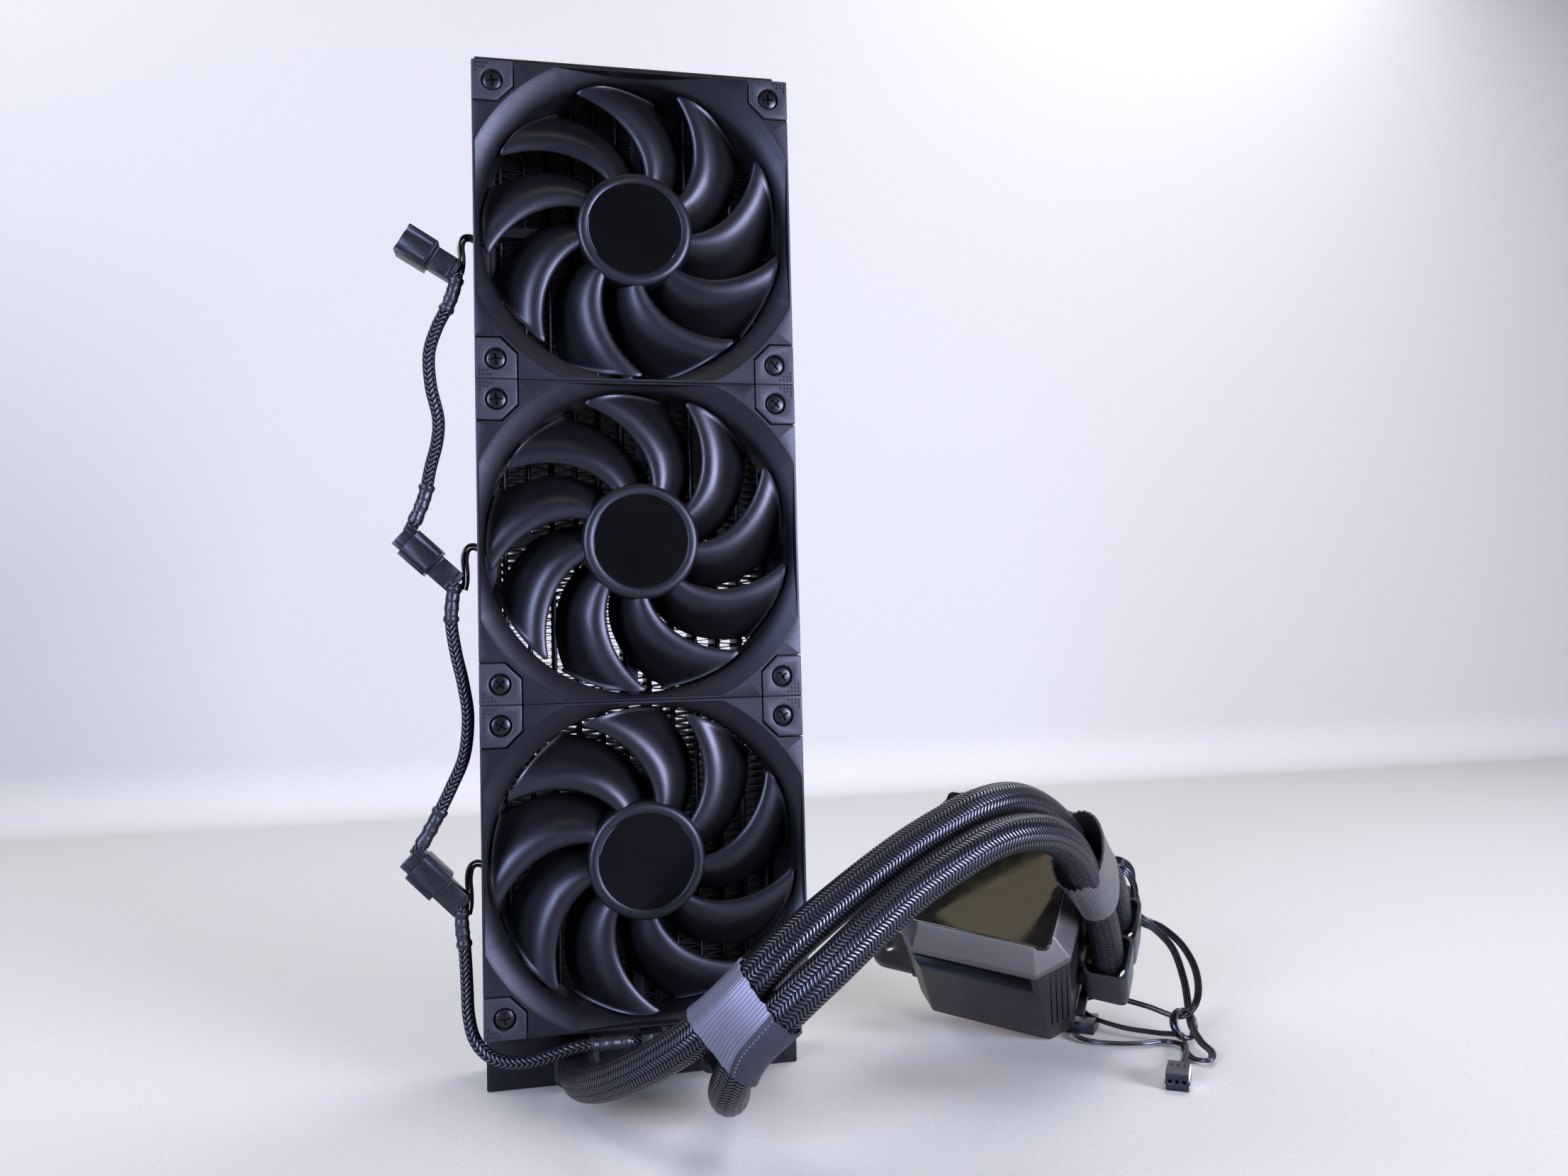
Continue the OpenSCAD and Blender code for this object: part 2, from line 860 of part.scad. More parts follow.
module jet_plate() {
    color("ivory")
    at_pump()
        difference() {
            block(49.6, 49.6, 6.4, 8.4);
            translate([0, 0, 7.5])
                cylinder(r = 1.5, h = 5);
            for (y = [-9, 9])
                translate([0, y, 0])
                    block(26, 3, 5, 10);
        }
}

module cold_plate() {
    fin_count = 14;
    color(copper)
    at_pump()
        difference() {
            union() {
                block(56, 56, -1, 2.6);
                for (i = [0:fin_count - 1])
                    translate([(i - (fin_count - 1) / 2) * 2, 0, 0])
                        block(0.8, 28, 2.4, 6.3);
            }
            for (x = [-1, 1], y = [-1, 1])
                translate([x * 25.6, y * 25.6, -2])
                    cylinder(r = 1.6, h = 6);
            for (x = [-1, 1], y = [-1, 1])
                translate([x * 25.6, y * 25.6, -2])
                    cylinder(r = 2.7, h = 2.6);
        }
}

module base_gasket() {
    color("black")
    at_pump()
        difference() {
            block(54, 54, 2.6, 4);
            block(47, 47, 2, 5);
            for (x = [-1, 1], y = [-1, 1])
                translate([x * 25.6, y * 25.6, 0])
                    cylinder(r = 1.8, h = 6);
        }
}

module base_screws() {
    color(steel)
    at_pump()
        for (x = [-1, 1], y = [-1, 1])
            translate([x * 25.6, y * 25.6, 0])
                difference() {
                    union() {
                        translate([0, 0, -0.9])
                            cylinder(r = 2.5, h = 1.5);
                        cylinder(r = 1.4, h = 4);
                    }
                    translate([0, 0, -1.5])
                        cylinder(r = 1, h = 1.6, $fn = 6);
                }
}

bracket_ears = [[-50, -13], [42, 35]];
module mounting_bracket() {
    color(black)
    at_pump()
        difference() {
            union() {
                translate([-37, -22, 5])
                    cube([74, 59, 3]);
                for (e = bracket_ears) {
                    translate([e[0], e[1], 5])
                        cylinder(r = 8, h = 4.5);
                    translate([e[0] < 0 ? e[0] : 30, e[1] - 8, 5])
                        cube([e[0] < 0 ? 20 : e[0] - 30, 16, 4.5]);
                }
            }
            // Opening for the housing, with cut corners like the housing's
            translate([0, 0, 4])
                linear_extrude(7)
                    polygon(cut_rect(67.4, 68, 7.5));
            translate([-25, -40, 4])
                cube([50, 20, 7]);
            for (e = bracket_ears)
                translate([e[0], e[1], 0])
                    cylinder(r = 2.1, h = 12);
        }
}

module elbow(y) {
    difference() {
        union() {
            translate([27.5, y, elbow_z])
                rotate([0, 90, 0])
                    cylinder(r = 4.5, h = elbow_x - 27.5);
            translate([elbow_x, y, elbow_z])
                sphere(r = 5);
            translate([elbow_x, y, elbow_z])
                cylinder(r = 4.5, h = 12);
        }
        translate([26, y, elbow_z])
            rotate([0, 90, 0])
                cylinder(r = 2.8, h = elbow_x - 26);
        translate([elbow_x, y, elbow_z])
            cylinder(r = 2.8, h = 14);
    }
}

module elbow_front() {
    color(grey)
    at_pump()
        elbow(elbow_front_y);
}

module elbow_rear() {
    color(grey)
    at_pump()
        elbow(elbow_rear_y);
}

// A boot round an elbow's leg: open for the hose and slotted towards the housing
module elbow_shroud(y) {
    translate([elbow_x, y, 0])
        difference() {
            translate([0, 0, 11.5])
                linear_extrude(23.5)
                    round_rect(18, 17.8, 4);
            translate([0, 0, 22.5])
                linear_extrude(14)
                    round_rect(15.4, 15.2, 3);
            translate([0, 0, 10])
                linear_extrude(11)
                    round_rect(15.4, 15.2, 3);
            cylinder(r = 4.6, h = 40);
            translate([-9, 0, 0])
                block(8, 10.4, 4, elbow_z + 5.2);
            // The rim slopes down towards the front
            translate([0, -9, 30])
                rotate([30, 0, 0])
                    block(30, 40, 0, 14);
        }
}

module elbow_shroud_front() {
    color(grey)
    at_pump()
        elbow_shroud(elbow_front_y);
}

module elbow_shroud_rear() {
    color(grey)
    at_pump()
        elbow_shroud(elbow_rear_y);
}

module elbow_seals() {
    color("black")
    at_pump()
        for (y = [elbow_front_y, elbow_rear_y])
            translate([0, y, elbow_z])
                rotate([0, 90, 0])
                    ring(5.8, 4.5, 28.4, 30);
}

module cable_gland() {
    color("black")
    at_pump()
        translate([0, 28, 44])
            difference() {
                union() {
                    translate([34, 0, 0])
                        cube([6, 8.8, 4.8], center = true);
                    translate([36, 0, 0])
                        cube([1.6, 11, 7], center = true);
                }
                for (y = [-2, 2])
                    translate([34, y, 0])
                        cube([8, 2.9, 2.9], center = true);
            }
}

// ---- Hoses and their bands ---------------------------------------------------------------

module hose_left() {
    color(dark)
    tube_along(hose_left_route, hose_d, 12);
}

module hose_right() {
    color(dark)
    tube_along(hose_right_route, hose_d, 12);
}

// A sleeve round both hoses: a flat-sided loop, placed by its middle, its run and its spread
module hose_band(middle, run, spread, gap, length, slack) {
    z = unit(run);
    x = unit(spread - (spread * z) * z);
    y = cross(z, x);
    inner = hose_d / 2 + slack;
    multmatrix([
        [x[0], y[0], z[0], middle[0]],
        [x[1], y[1], z[1], middle[1]],
        [x[2], y[2], z[2], middle[2]],
        [0, 0, 0, 1]
    ])
        translate([0, 0, -length / 2])
            linear_extrude(length)
                difference() {
                    round_rect(gap + 2 * inner + 2, 2 * inner + 2, inner + 0.9);
                    round_rect(gap + 2 * inner, 2 * inner, inner - 0.1);
                }
}

module hose_band_lower() {
    color(grey)
    hose_band([21.8, -115.2, 49.4], [9.5, -4.5, 10.5], [9, -10, -7], 14.5, 22, 1);
}

module hose_band_upper() {
    color(grey)
    hose_band([165.6, -58.6, 78.2], [12, 9.5, -14], [5, 10.5, 12], 15.5, 22, 1.4);
}

// ---- Fan cables --------------------------------------------------------------------------

module fan_leads() {
    color(black)
    for (i = [0:2])
        translate([0, 0, fan_z0 + fan_size * (i + 0.5)])
            tube_along(fan_lead_route, fan_lead_d, 8);
}

module fan_cables() {
    color(black)
    for (route = fan_cable_routes)
        tube_along(route, cable_d, 8, 2);
}

// Socket coordinates: X runs from the rear of the socket to its open mouth
module at_socket(i) {
    place = socket_places[i];
    translate([place[0], -26, place[1]])
        rotate([0, 180 + place[2], 0])
            children();
}

module fan_sockets() {
    color(black)
    for (i = [0:2])
        at_socket(i)
            difference() {
                union() {
                    translate([0, -3.4, -4.4])
                        cube([12.4, 6.8, 8.8]);
                    translate([11, -4.6, -5.8])
                        cube([12, 9.2, 11.6]);
                }
                translate([14, -3.4, -4.6])
                    cube([10, 6.8, 9.2]);
            }
}

// The plugs that sit in the two lower sockets, and the one at the end of the last cable
module fan_plug() {
    difference() {
        union() {
            translate([0, -3.2, -4.4])
                cube([13, 6.4, 8.8]);
            translate([9, -3.2, -5.4])
                cube([4, 6.4, 1.2]);
        }
        for (k = [-1.5:1:1.5])
            translate([-1, -0.6, k * 2.1 - 0.6])
                cube([9, 1.2, 1.2]);
    }
}

module fan_plugs() {
    color(black) {
        for (i = [0, 1])
            at_socket(i)
                translate([14.2, 0, 0])
                    fan_plug();
        translate([9, -37, 22])
            rotate([90, 0, 180])
                fan_plug();
    }
}

// ---- Pump leads --------------------------------------------------------------------------

module pump_leads() {
    color(black)
    for (route = pump_lead_routes)
        tube_along(route, pump_lead_d, 8);
}

// The small plug in front, the wide plug under the block and the tie round the knot
module pump_plugs() {
    color(black) {
        translate([194, -71, 3.6])
            rotate([0, 0, -124])
                difference() {
                    translate([0, -4, -3.4])
                        cube([14, 8, 6.4]);
                    for (k = [-1:1])
                        translate([8, k * 2.5 - 0.6, -0.8])
                            cube([8, 1.2, 1.2]);
                }
        translate([181, -14, 3])
            rotate([0, 0, 54])
                translate([0, -6, -3])
                    cube([14, 12, 5]);
        translate([217, -35, 7])
            rotate([62, 0, 20])
                translate([0, 0, -1.5])
                    linear_extrude(3)
                        difference() {
                            round_rect(13, 13, 5);
                            round_rect(11.4, 11.4, 4.2);
                        }
    }
}

core_tubes();
core_fins();
header_plates();
upper_tank();
lower_tank();
tank_divider();
side_rails();
hose_barbs();
port_collars();
fill_plug();
plug_seal();
fan_frame_top();
fan_frame_middle();
fan_frame_bottom();
front_pads();
rear_pads();
fan_screws();
fan_stators();
stator_coils();
fan_boards();
fan_bearings();
fan_rotor_top();
fan_rotor_middle();
fan_rotor_bottom();
hub_badge_top();
hub_badge_middle();
hub_badge_bottom();
motor_bell_top();
motor_bell_middle();
motor_bell_bottom();
pump_housing();
display_bezel();
display_glass();
display_panel();
pump_board();
pump_stator();
pump_shaft();
pump_impeller();
rotor_can();
jet_plate();
cold_plate();
base_gasket();
base_screws();
mounting_bracket();
elbow_front();
elbow_rear();
elbow_shroud_front();
elbow_shroud_rear();
elbow_seals();
cable_gland();
hose_left();
hose_right();
hose_band_lower();
hose_band_upper();
fan_leads();
fan_cables();
fan_sockets();
fan_plugs();
pump_leads();
pump_plugs();
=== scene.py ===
"""Looks of a closed-loop liquid cooler: radiator, three fans, two sleeved hoses, pump block with display.

Lengths in this file are millimetres in the part's own frame until a mesh is made, and metres after that.
"""
import math
import random

import bpy
import bmesh
import numpy as np
from mathutils import Euler, Matrix, Vector


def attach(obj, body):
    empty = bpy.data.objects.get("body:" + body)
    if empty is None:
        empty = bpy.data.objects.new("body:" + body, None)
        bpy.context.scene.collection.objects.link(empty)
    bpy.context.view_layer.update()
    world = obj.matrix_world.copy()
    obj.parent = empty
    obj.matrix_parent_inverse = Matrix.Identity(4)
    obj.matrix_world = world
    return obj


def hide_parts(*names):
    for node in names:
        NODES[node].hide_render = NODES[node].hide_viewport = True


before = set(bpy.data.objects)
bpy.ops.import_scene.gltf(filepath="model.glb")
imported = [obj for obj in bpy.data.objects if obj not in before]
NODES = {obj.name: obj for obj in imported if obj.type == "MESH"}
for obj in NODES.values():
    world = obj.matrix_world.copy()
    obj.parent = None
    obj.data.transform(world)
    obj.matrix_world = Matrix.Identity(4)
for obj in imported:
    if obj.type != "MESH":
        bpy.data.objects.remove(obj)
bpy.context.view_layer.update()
MM = 0.001
ROOT = "cooler"
scene = bpy.context.scene
rng = random.Random(7)

# ---- Sizes, as in the CAD ----
RAD_W, RAD_T, RAD_H = 120.0, 27.0, 400.0
TANK_H = 26.0
FAN, FAN_D = 120.0, 25.0
FAN_Z0 = 26.5
UPPER_Z = FAN_Z0 + 3 * FAN
FRONT_Y = -RAD_T / 2
FAN_Z = {"bottom": 86.5, "middle": 206.5, "top": 326.5}
SCREW = 105.0 / 2
HUB_TOP = FAN_D - 3.6
AXIS = 0.001
PORT_X, PORT_Z, FILL_X = 27.0, 12.5, 14.0
PUMP = Matrix.Translation((162, 13, 26)) @ Euler([math.radians(a) for a in (43, 8, -36)]).to_matrix().to_4x4()
ELBOW_X, ELBOW_Z = 45.0, 15.0
ELBOW_Y = {"front": -8.0, "rear": 10.5}


def turn(degrees, axis):
    return Matrix.Rotation(math.radians(degrees), 4, axis)


def polar(r, degrees, cx=0.0, cy=0.0):
    """The 2-D point at an angle on a circle round (cx, cy)."""
    a = math.radians(degrees)
    return cx + r * math.cos(a), cy + r * math.sin(a)


# ---- Camera ----
def make_camera():
    data = bpy.data.cameras.new("camera")
    data.sensor_width = 36.0
    data.lens = 27.4
    data.clip_start, data.clip_end = 0.01, 20
    ob = bpy.data.objects.new("camera", data)
    scene.collection.objects.link(ob)
    at, aim = Vector((-42.16, -485.97, 166.62)), turn(-12.13, "Z") @ turn(92.64, "X") @ turn(-1.43, "Z")
    ob.matrix_world = Matrix.Translation(at * MM) @ aim
    scene.camera = ob


make_camera()


# ---- Mesh helpers ----
class Shape:
    """Vertices and faces in millimetres, gathered piece by piece."""

    def __init__(self):
        self.v, self.f, self.uv = [], [], []

    def add(self, verts, faces, uvs=None):
        n = len(self.v)
        self.v += [tuple(map(float, p)) for p in verts]
        self.f += [tuple(n + i for i in f) for f in faces]
        self.uv += uvs if uvs else [None] * len(faces)
        return self

    def box(self, x0, x1, y0, y1, z0, z1):
        v = [(x, y, z) for z in (z0, z1) for x, y in ((x0, y0), (x1, y0), (x1, y1), (x0, y1))]
        return self.add(v, [(3, 2, 1, 0), (4, 5, 6, 7), (0, 1, 5, 4), (1, 2, 6, 5), (2, 3, 7, 6), (3, 0, 4, 7)])

    def prism(self, outline, z0, z1):
        """A closed solid over one outline."""
        n = len(outline)
        v = [(x, y, z) for z in (z0, z1) for x, y in outline]
        f = [tuple(range(n))[::-1], tuple(range(n, 2 * n))]
        return self.add(v, f + [(i, (i + 1) % n, n + (i + 1) % n, n + i) for i in range(n)])

    def lathe(self, profile, sides=64, closed=True):
        """Turns (radius, z) points round Z. The profile is closed unless closed is False, as for a profile
        whose ends are on the axis.
        """
        v, f, n = [], [], len(profile)
        for i in range(sides):
            a = 2 * math.pi * i / sides
            v += [(r * math.cos(a), r * math.sin(a), z) for r, z in profile]
        for i in range(sides):
            j = (i + 1) % sides
            for k in range(n if closed else n - 1):
                m = (k + 1) % n
                f.append((i * n + k, j * n + k, j * n + m, i * n + m))
        return self.add(v, f)

    def loft(self, rings, caps=True, v_mm=None, mapped=True):
        """Joins closed rings of as many points. UV: U is 0 to 1 round, V is v_mm or the ring's number."""
        n, m = len(rings[0]), len(rings)
        v = [p for ring in rings for p in ring]
        f, uv = [], []
        vs = v_mm if v_mm is not None else list(range(m))
        for i in range(m - 1):
            for k in range(n):
                j = (k + 1) % n
                f.append((i * n + k, i * n + j, (i + 1) * n + j, (i + 1) * n + k))
                u0, u1, v0, v1 = k / n, (k + 1) / n, vs[i], vs[i + 1]
                uv.append(((u0, v0), (u1, v0), (u1, v1), (u0, v1)))
        if caps:
            f += [tuple(range(n))[::-1], tuple(range((m - 1) * n, m * n))]
            uv += [None, None]
        return self.add(v, f, uv if mapped else None)

    def moved(self, matrix):
        out = Shape()
        out.v = [tuple(matrix @ Vector(p)) for p in self.v]
        flip = matrix.determinant() < 0
        out.f = [tuple(reversed(f)) if flip else f for f in self.f]
        out.uv = [None if u is None else (tuple(reversed(u)) if flip else u) for u in self.uv]
        return out

    def join(self, other):
        return self.add(other.v, other.f, list(other.uv))

    def mesh(self, name, smooth=35.0, weld=True):
        me = bpy.data.meshes.new(name)
        me.from_pydata([(x * MM, y * MM, z * MM) for x, y, z in self.v], [], self.f)
        if any(u is not None for u in self.uv):
            layer = me.uv_layers.new(name="UVMap")
            for poly, u in zip(me.polygons, self.uv):
                if u is not None:
                    for loop, c in zip(poly.loop_indices, u):
                        layer.data[loop].uv = c
        bm = bmesh.new()
        bm.from_mesh(me)
        if weld:
            bmesh.ops.remove_doubles(bm, verts=bm.verts, dist=2e-6)
        bmesh.ops.recalc_face_normals(bm, faces=bm.faces)
        bm.to_mesh(me)
        bm.free()
        shade(me, smooth)
        return me


def shade(me, angle):
    for p in me.polygons:
        p.use_smooth = angle > 0
    if angle > 0:
        me.set_sharp_from_angle(angle=math.radians(angle))


def place(name, mesh, material=None, body=ROOT, nodes=()):
    ob = bpy.data.objects.new(name, mesh)
    scene.collection.objects.link(ob)
    if material:
        mesh.materials.clear()
        mesh.materials.append(material)
    if body:
        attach(ob, body)
        if nodes:
            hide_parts(*nodes)
    return ob


def baked(ob):
    """Applies every modifier of ob to its mesh."""
    dg = bpy.context.evaluated_depsgraph_get()
    dg.update()
    me = bpy.data.meshes.new_from_object(ob.evaluated_get(dg))
    ob.modifiers.clear()
    ob.data = me


def boolean(ob, cutter, operation="DIFFERENCE"):
    """Cuts, or joins, with a Shape that is thrown away after."""
    tool = place("tool", cutter.mesh("tool", 0), body=None)
    mod = ob.modifiers.new("cut", "BOOLEAN")
    mod.object, mod.operation, mod.solver = tool, operation, "EXACT"
    baked(ob)
    bpy.data.objects.remove(tool)


def bevel(ob, width, segments=2, angle=35.0):
    """Rounds the edges that are sharper than angle."""
    mod = ob.modifiers.new("bevel", "BEVEL")
    mod.width, mod.segments = width * MM, segments
    mod.limit_method, mod.angle_limit = "ANGLE", math.radians(angle)
    baked(ob)
    shade(ob.data, 30)


def metric(matrix):
    """A matrix in millimetres, turned into one for a mesh in metres."""
    return Matrix.Diagonal((MM, MM, MM, 1)) @ matrix @ Matrix.Diagonal((1 / MM, 1 / MM, 1 / MM, 1))


def work(shape, name, smooth=0.0):
    """A passing object to cut and round, until done() makes a piece of it."""
    return place("work", shape.mesh(name, smooth), body=None)


def done(ob, name, material, nodes=(), matrix=None):
    """Moves a work object's mesh by matrix and places it as a piece."""
    me = ob.data
    if matrix is not None:
        me.transform(metric(matrix))
    bpy.data.objects.remove(ob)
    return place(name, me, material, ROOT, nodes)


def merged(meshes, name, smooth):
    """One mesh out of several."""
    bm = bmesh.new()
    for one in meshes:
        bm.from_mesh(one)
    me = bpy.data.meshes.new(name)
    bm.to_mesh(me)
    bm.free()
    shade(me, smooth)
    return me


def solid(name, shape, material, nodes=(), cut=None, round_by=0.0, segments=2, matrix=None):
    """Makes a piece from a Shape: cut, then rounded, then placed."""
    smooth = 35.0
    ob = work(shape, name, smooth)
    if cut:
        boolean(ob, cut)
        shade(ob.data, smooth)
    if round_by:
        bevel(ob, round_by, segments)
    return done(ob, name, material, nodes, matrix)


def rounded(w, h, r, n=6, cx=0.0, cy=0.0):
    """A rectangle with round corners, as points, counter-clockwise."""
    pts = []
    for i, (sx, sy) in enumerate(((1, 1), (-1, 1), (-1, -1), (1, -1))):
        for k in range(n + 1):
            pts.append(polar(r, 90 * i + 90 * k / n, cx + sx * (w / 2 - r), cy + sy * (h / 2 - r)))
    return pts


def cut_rect(w, h, c):
    """A rectangle with corners cut by c, or by (front, back) cuts."""
    a, b = (c, c) if not isinstance(c, tuple) else c
    return [(-w / 2 + a, -h / 2), (w / 2 - a, -h / 2), (w / 2, -h / 2 + a), (w / 2, h / 2 - b),
            (w / 2 - b, h / 2), (-w / 2 + b, h / 2), (-w / 2, h / 2 - b), (-w / 2, -h / 2 + a)]


def circle(r, n=48, cx=0.0, cy=0.0):
    return [(cx + r * math.cos(2 * math.pi * i / n), cy + r * math.sin(2 * math.pi * i / n)) for i in range(n)]


def rod(r, z0, z1, n=48, cx=0.0, cy=0.0):
    return Shape().prism(circle(r, n, cx, cy), z0, z1)


def along(points, step):
    """Points every step mm along a smooth curve through the given ones, with tangents and distances."""
    p = np.array(points, float)
    q = np.vstack([p[0], p, p[-1]])
    dense = []
    for i in range(len(p) - 1):
        a, b, c, d = q[i], q[i + 1], q[i + 2], q[i + 3]
        for t in np.linspace(0, 1, 24, endpoint=False):
            dense.append(0.5 * (2 * b + (c - a) * t + (2 * a - 5 * b + 4 * c - d) * t * t
                                + (3 * b - a - 3 * c + d) * t ** 3))
    dense.append(p[-1])
    dense = np.array(dense)
    dist = np.concatenate([[0], np.cumsum(np.linalg.norm(np.diff(dense, axis=0), axis=1))])
    n = max(2, int(round(dist[-1] / step)) + 1)
    s = np.linspace(0, dist[-1], n)
    pts = np.column_stack([np.interp(s, dist, dense[:, k]) for k in range(3)])
    tan = np.gradient(pts, axis=0)
    tan /= np.linalg.norm(tan, axis=1)[:, None]
    return pts, tan, s


def carried(tan, first=(0.3, 0.5, 0.8)):
    """Side vectors carried along the tangents without twist."""
    u = np.array(first, float)
    out = []
    for t in tan:
        u = u - (u @ t) * t
        u /= np.linalg.norm(u)
        out.append(u.copy())
    return np.array(out)


def sweep(points, section, step=1.5, first=(0.3, 0.5, 0.8)):
    """Sweeps a section, points (a, b) or a function of the distance along, along a smooth curve."""
    pts, tan, s = along(points, step)
    side = carried(tan, first)
    rings = []
    for p, t, u, d in zip(pts, tan, side, s):
        w = np.cross(t, u)
        sec = section(d, s[-1]) if callable(section) else section
        rings.append([tuple(p + a * u + b * w) for a, b in sec])
    return Shape().loft(rings, True, [float(x) for x in s]), pts


# ---- Materials ----
# Painted highlight colour: the lavender of the window light, set as the specular tint of the materials
PAINTED_GLOSS_TINT = (0.70, 0.74, 1.0)


class Mat:
    """A small builder of node materials. Coordinates are in millimetres, in the part's frame."""

    def __init__(self, name, color, rough, metallic=0.0, specular=0.5, coat=0.0):
        self.m = bpy.data.materials.new(name)
        self.m.use_nodes = True
        self.t = self.m.node_tree
        self.b = self.t.nodes["Principled BSDF"]
        self.set("Base Color", (*color, 1.0))
        self.set("Roughness", rough)
        self.set("Metallic", metallic)
        self.set("Specular IOR Level", specular)
        self.set("Coat Weight", coat)
        self.set("Coat Roughness", 0.1)
        # Painted highlight colour: the lavender window light, put in as the specular tint
        self.set("Specular Tint", (*PAINTED_GLOSS_TINT, 1.0))
        self.m.diffuse_color = (*color, 1.0)
        self._mm = None

    def set(self, socket, value):
        self.b.inputs[socket].default_value = value

    def node(self, kind, inputs=None, **props):
        n = self.t.nodes.new(kind)
        for k, v in props.items():
            setattr(n, k, v)
        for k, v in (inputs or {}).items():
            if hasattr(v, "is_output"):
                self.t.links.new(v, n.inputs[k])
            else:
                n.inputs[k].default_value = v
        return n

    def link(self, value, socket):
        self.t.links.new(value, self.b.inputs[socket])

    def mm(self):
        if self._mm is None:
            tc = self.node("ShaderNodeTexCoord")
            self._mm = self.node("ShaderNodeVectorMath", {0: tc.outputs["Object"], 1: (1000, 1000, 1000)},
                                 operation="MULTIPLY").outputs[0]
        return self._mm

    def math(self, op, a, b=0.0, c=0.0):
        return self.node("ShaderNodeMath", {0: a, 1: b, 2: c}, operation=op).outputs[0]

    def mul(self, a, b):
        return self.math("MULTIPLY", a, b)

    def mad(self, a, b, c):
        """a times b, plus c."""
        return self.math("MULTIPLY_ADD", a, b, c)

    def wave(self, value, per_unit, swing, middle):
        """A cosine of value, with per_unit waves in each unit."""
        return self.mad(self.math("COSINE", self.mul(value, 2 * math.pi * per_unit)), swing, middle)

    def uv(self):
        """The two outputs of the UV map: round, and along in mm."""
        uv_map = self.node("ShaderNodeUVMap", uv_map="UVMap").outputs[0]
        return self.node("ShaderNodeSeparateXYZ", {0: uv_map}).outputs

    def noise(self, scale, detail=3.0, rough=0.5, vector=None, distortion=0.0):
        return self.node("ShaderNodeTexNoise", {
            "Vector": vector if vector is not None else self.mm(), "Scale": scale, "Detail": detail,
            "Roughness": rough, "Distortion": distortion}).outputs[0]

    def remap(self, value, lo, hi, a, b, smooth=False):
        return self.node("ShaderNodeMapRange", {0: value, 1: lo, 2: hi, 3: a, 4: b},
                         interpolation_type="SMOOTHSTEP" if smooth else "LINEAR").outputs[0]

    def mix(self, fac, a, b):
        n = self.node("ShaderNodeMix", data_type="RGBA")
        for sock, v in ((0, fac), (6, a), (7, b)):
            if hasattr(v, "is_output"):
                self.t.links.new(v, n.inputs[sock])
            else:
                n.inputs[sock].default_value = v if sock == 0 else (*v, 1.0)
        return n.outputs[2]

    def bump(self, height, strength, distance_mm):
        ins = {"Strength": strength, "Distance": distance_mm * MM, "Height": height}
        return self.node("ShaderNodeBump", ins).outputs[0]


def scaled(c, k):
    return tuple(min(1.0, x * k) for x in c)


def grained(name, color, rough, grain=2.6, depth=0.05, strength=0.35, vary=0.25, specular=0.5, metallic=0.0,
            coat=0.0, dust=0.0, rough_vary=0.1):
    """Moulded plastic, rubber or paint: fine spark grain, slow colour and gloss changes, a little dust."""
    m = Mat(name, color, rough, metallic, specular, coat)
    m.set("Coat Roughness", 0.2)
    fine = m.noise(grain, 2.0, 0.6)
    slow = m.noise(0.035, 3.0, 0.55)
    tone = m.mad(slow, 0.6, m.mul(fine, 0.4))
    col = m.mix(m.remap(tone, 0.3, 0.7, 0.0, 1.0), scaled(color, 1 - vary), scaled(color, 1 + vary))
    if dust:
        specks = m.remap(m.noise(1.1, 4.0, 0.7), 0.7, 0.78, 0.0, dust, True)
        col = m.mix(specks, col, (0.12, 0.12, 0.13))
    m.link(col, "Base Color")
    wear = m.math("ADD", m.mul(fine, 0.5), m.mul(slow, 0.5))
    m.link(m.remap(wear, 0.3, 0.7, rough - rough_vary, rough + rough_vary), "Roughness")
    m.link(m.bump(fine, strength, depth), "Normal")
    return m.m


def brushed(name, color, rough, stretch=(0.3, 6, 6), strength=0.12):
    """Metal with fine lines along one way."""
    m = Mat(name, color, rough, 1.0)
    vec = m.node("ShaderNodeVectorMath", {0: m.mm(), 1: stretch}, operation="MULTIPLY").outputs[0]
    lines = m.noise(1.0, 4.0, 0.6, vec)
    slow = m.noise(0.08, 2.0)
    m.link(m.mix(slow, scaled(color, 0.85), scaled(color, 1.1)), "Base Color")
    m.link(m.remap(lines, 0.3, 0.7, rough - 0.08, rough + 0.12), "Roughness")
    m.link(m.bump(lines, strength, 0.05), "Normal")
    return m.m


def braid(name, color, gap, columns, pitch, slant, rough, depth):
    """A braided sleeve by its UVs: U runs round once, V is millimetres along.
    Columns of slanted ribs meet in zigzags."""
    filaments = 4.0
    m = Mat(name, color, rough, 0.0, 0.6)
    around, along_mm = m.uv()[:2]
    column = m.mul(around, columns)
    part = m.math("FRACT", column)
    odd = m.mul(m.math("FRACT", m.mul(m.math("FLOOR", column), 0.5)), 4.0)
    sign = m.math("SUBTRACT", odd, 1.0)
    centred = m.math("SUBTRACT", part, 0.5)
    phase = m.mad(m.mul(sign, centred), slant, m.mul(along_mm, 1 / pitch))
    rib = m.math("POWER", m.wave(phase, 1, 0.5, 0.5), 0.7)
    across = m.math("SQRT", m.mul(m.mul(part, m.math("SUBTRACT", 1.0, part)), 4.0))
    threads = m.wave(phase, filaments, 0.06, 0.94)
    height = m.mul(m.mul(rib, m.math("POWER", across, 0.55)), threads)
    body = m.mix(m.noise(0.12, 3.0), scaled(color, 0.75), scaled(color, 1.3))
    m.link(m.mix(m.remap(height, 0.1, 0.55, 0.0, 1.0, True), gap, body), "Base Color")
    m.link(m.remap(height, 0.2, 1.0, min(1.0, rough + 0.3), rough), "Roughness")
    m.link(m.remap(height, 0.25, 0.8, 0.03, 1.0), "Specular IOR Level")
    m.link(m.bump(height, 1.0, depth), "Normal")
    return m.m


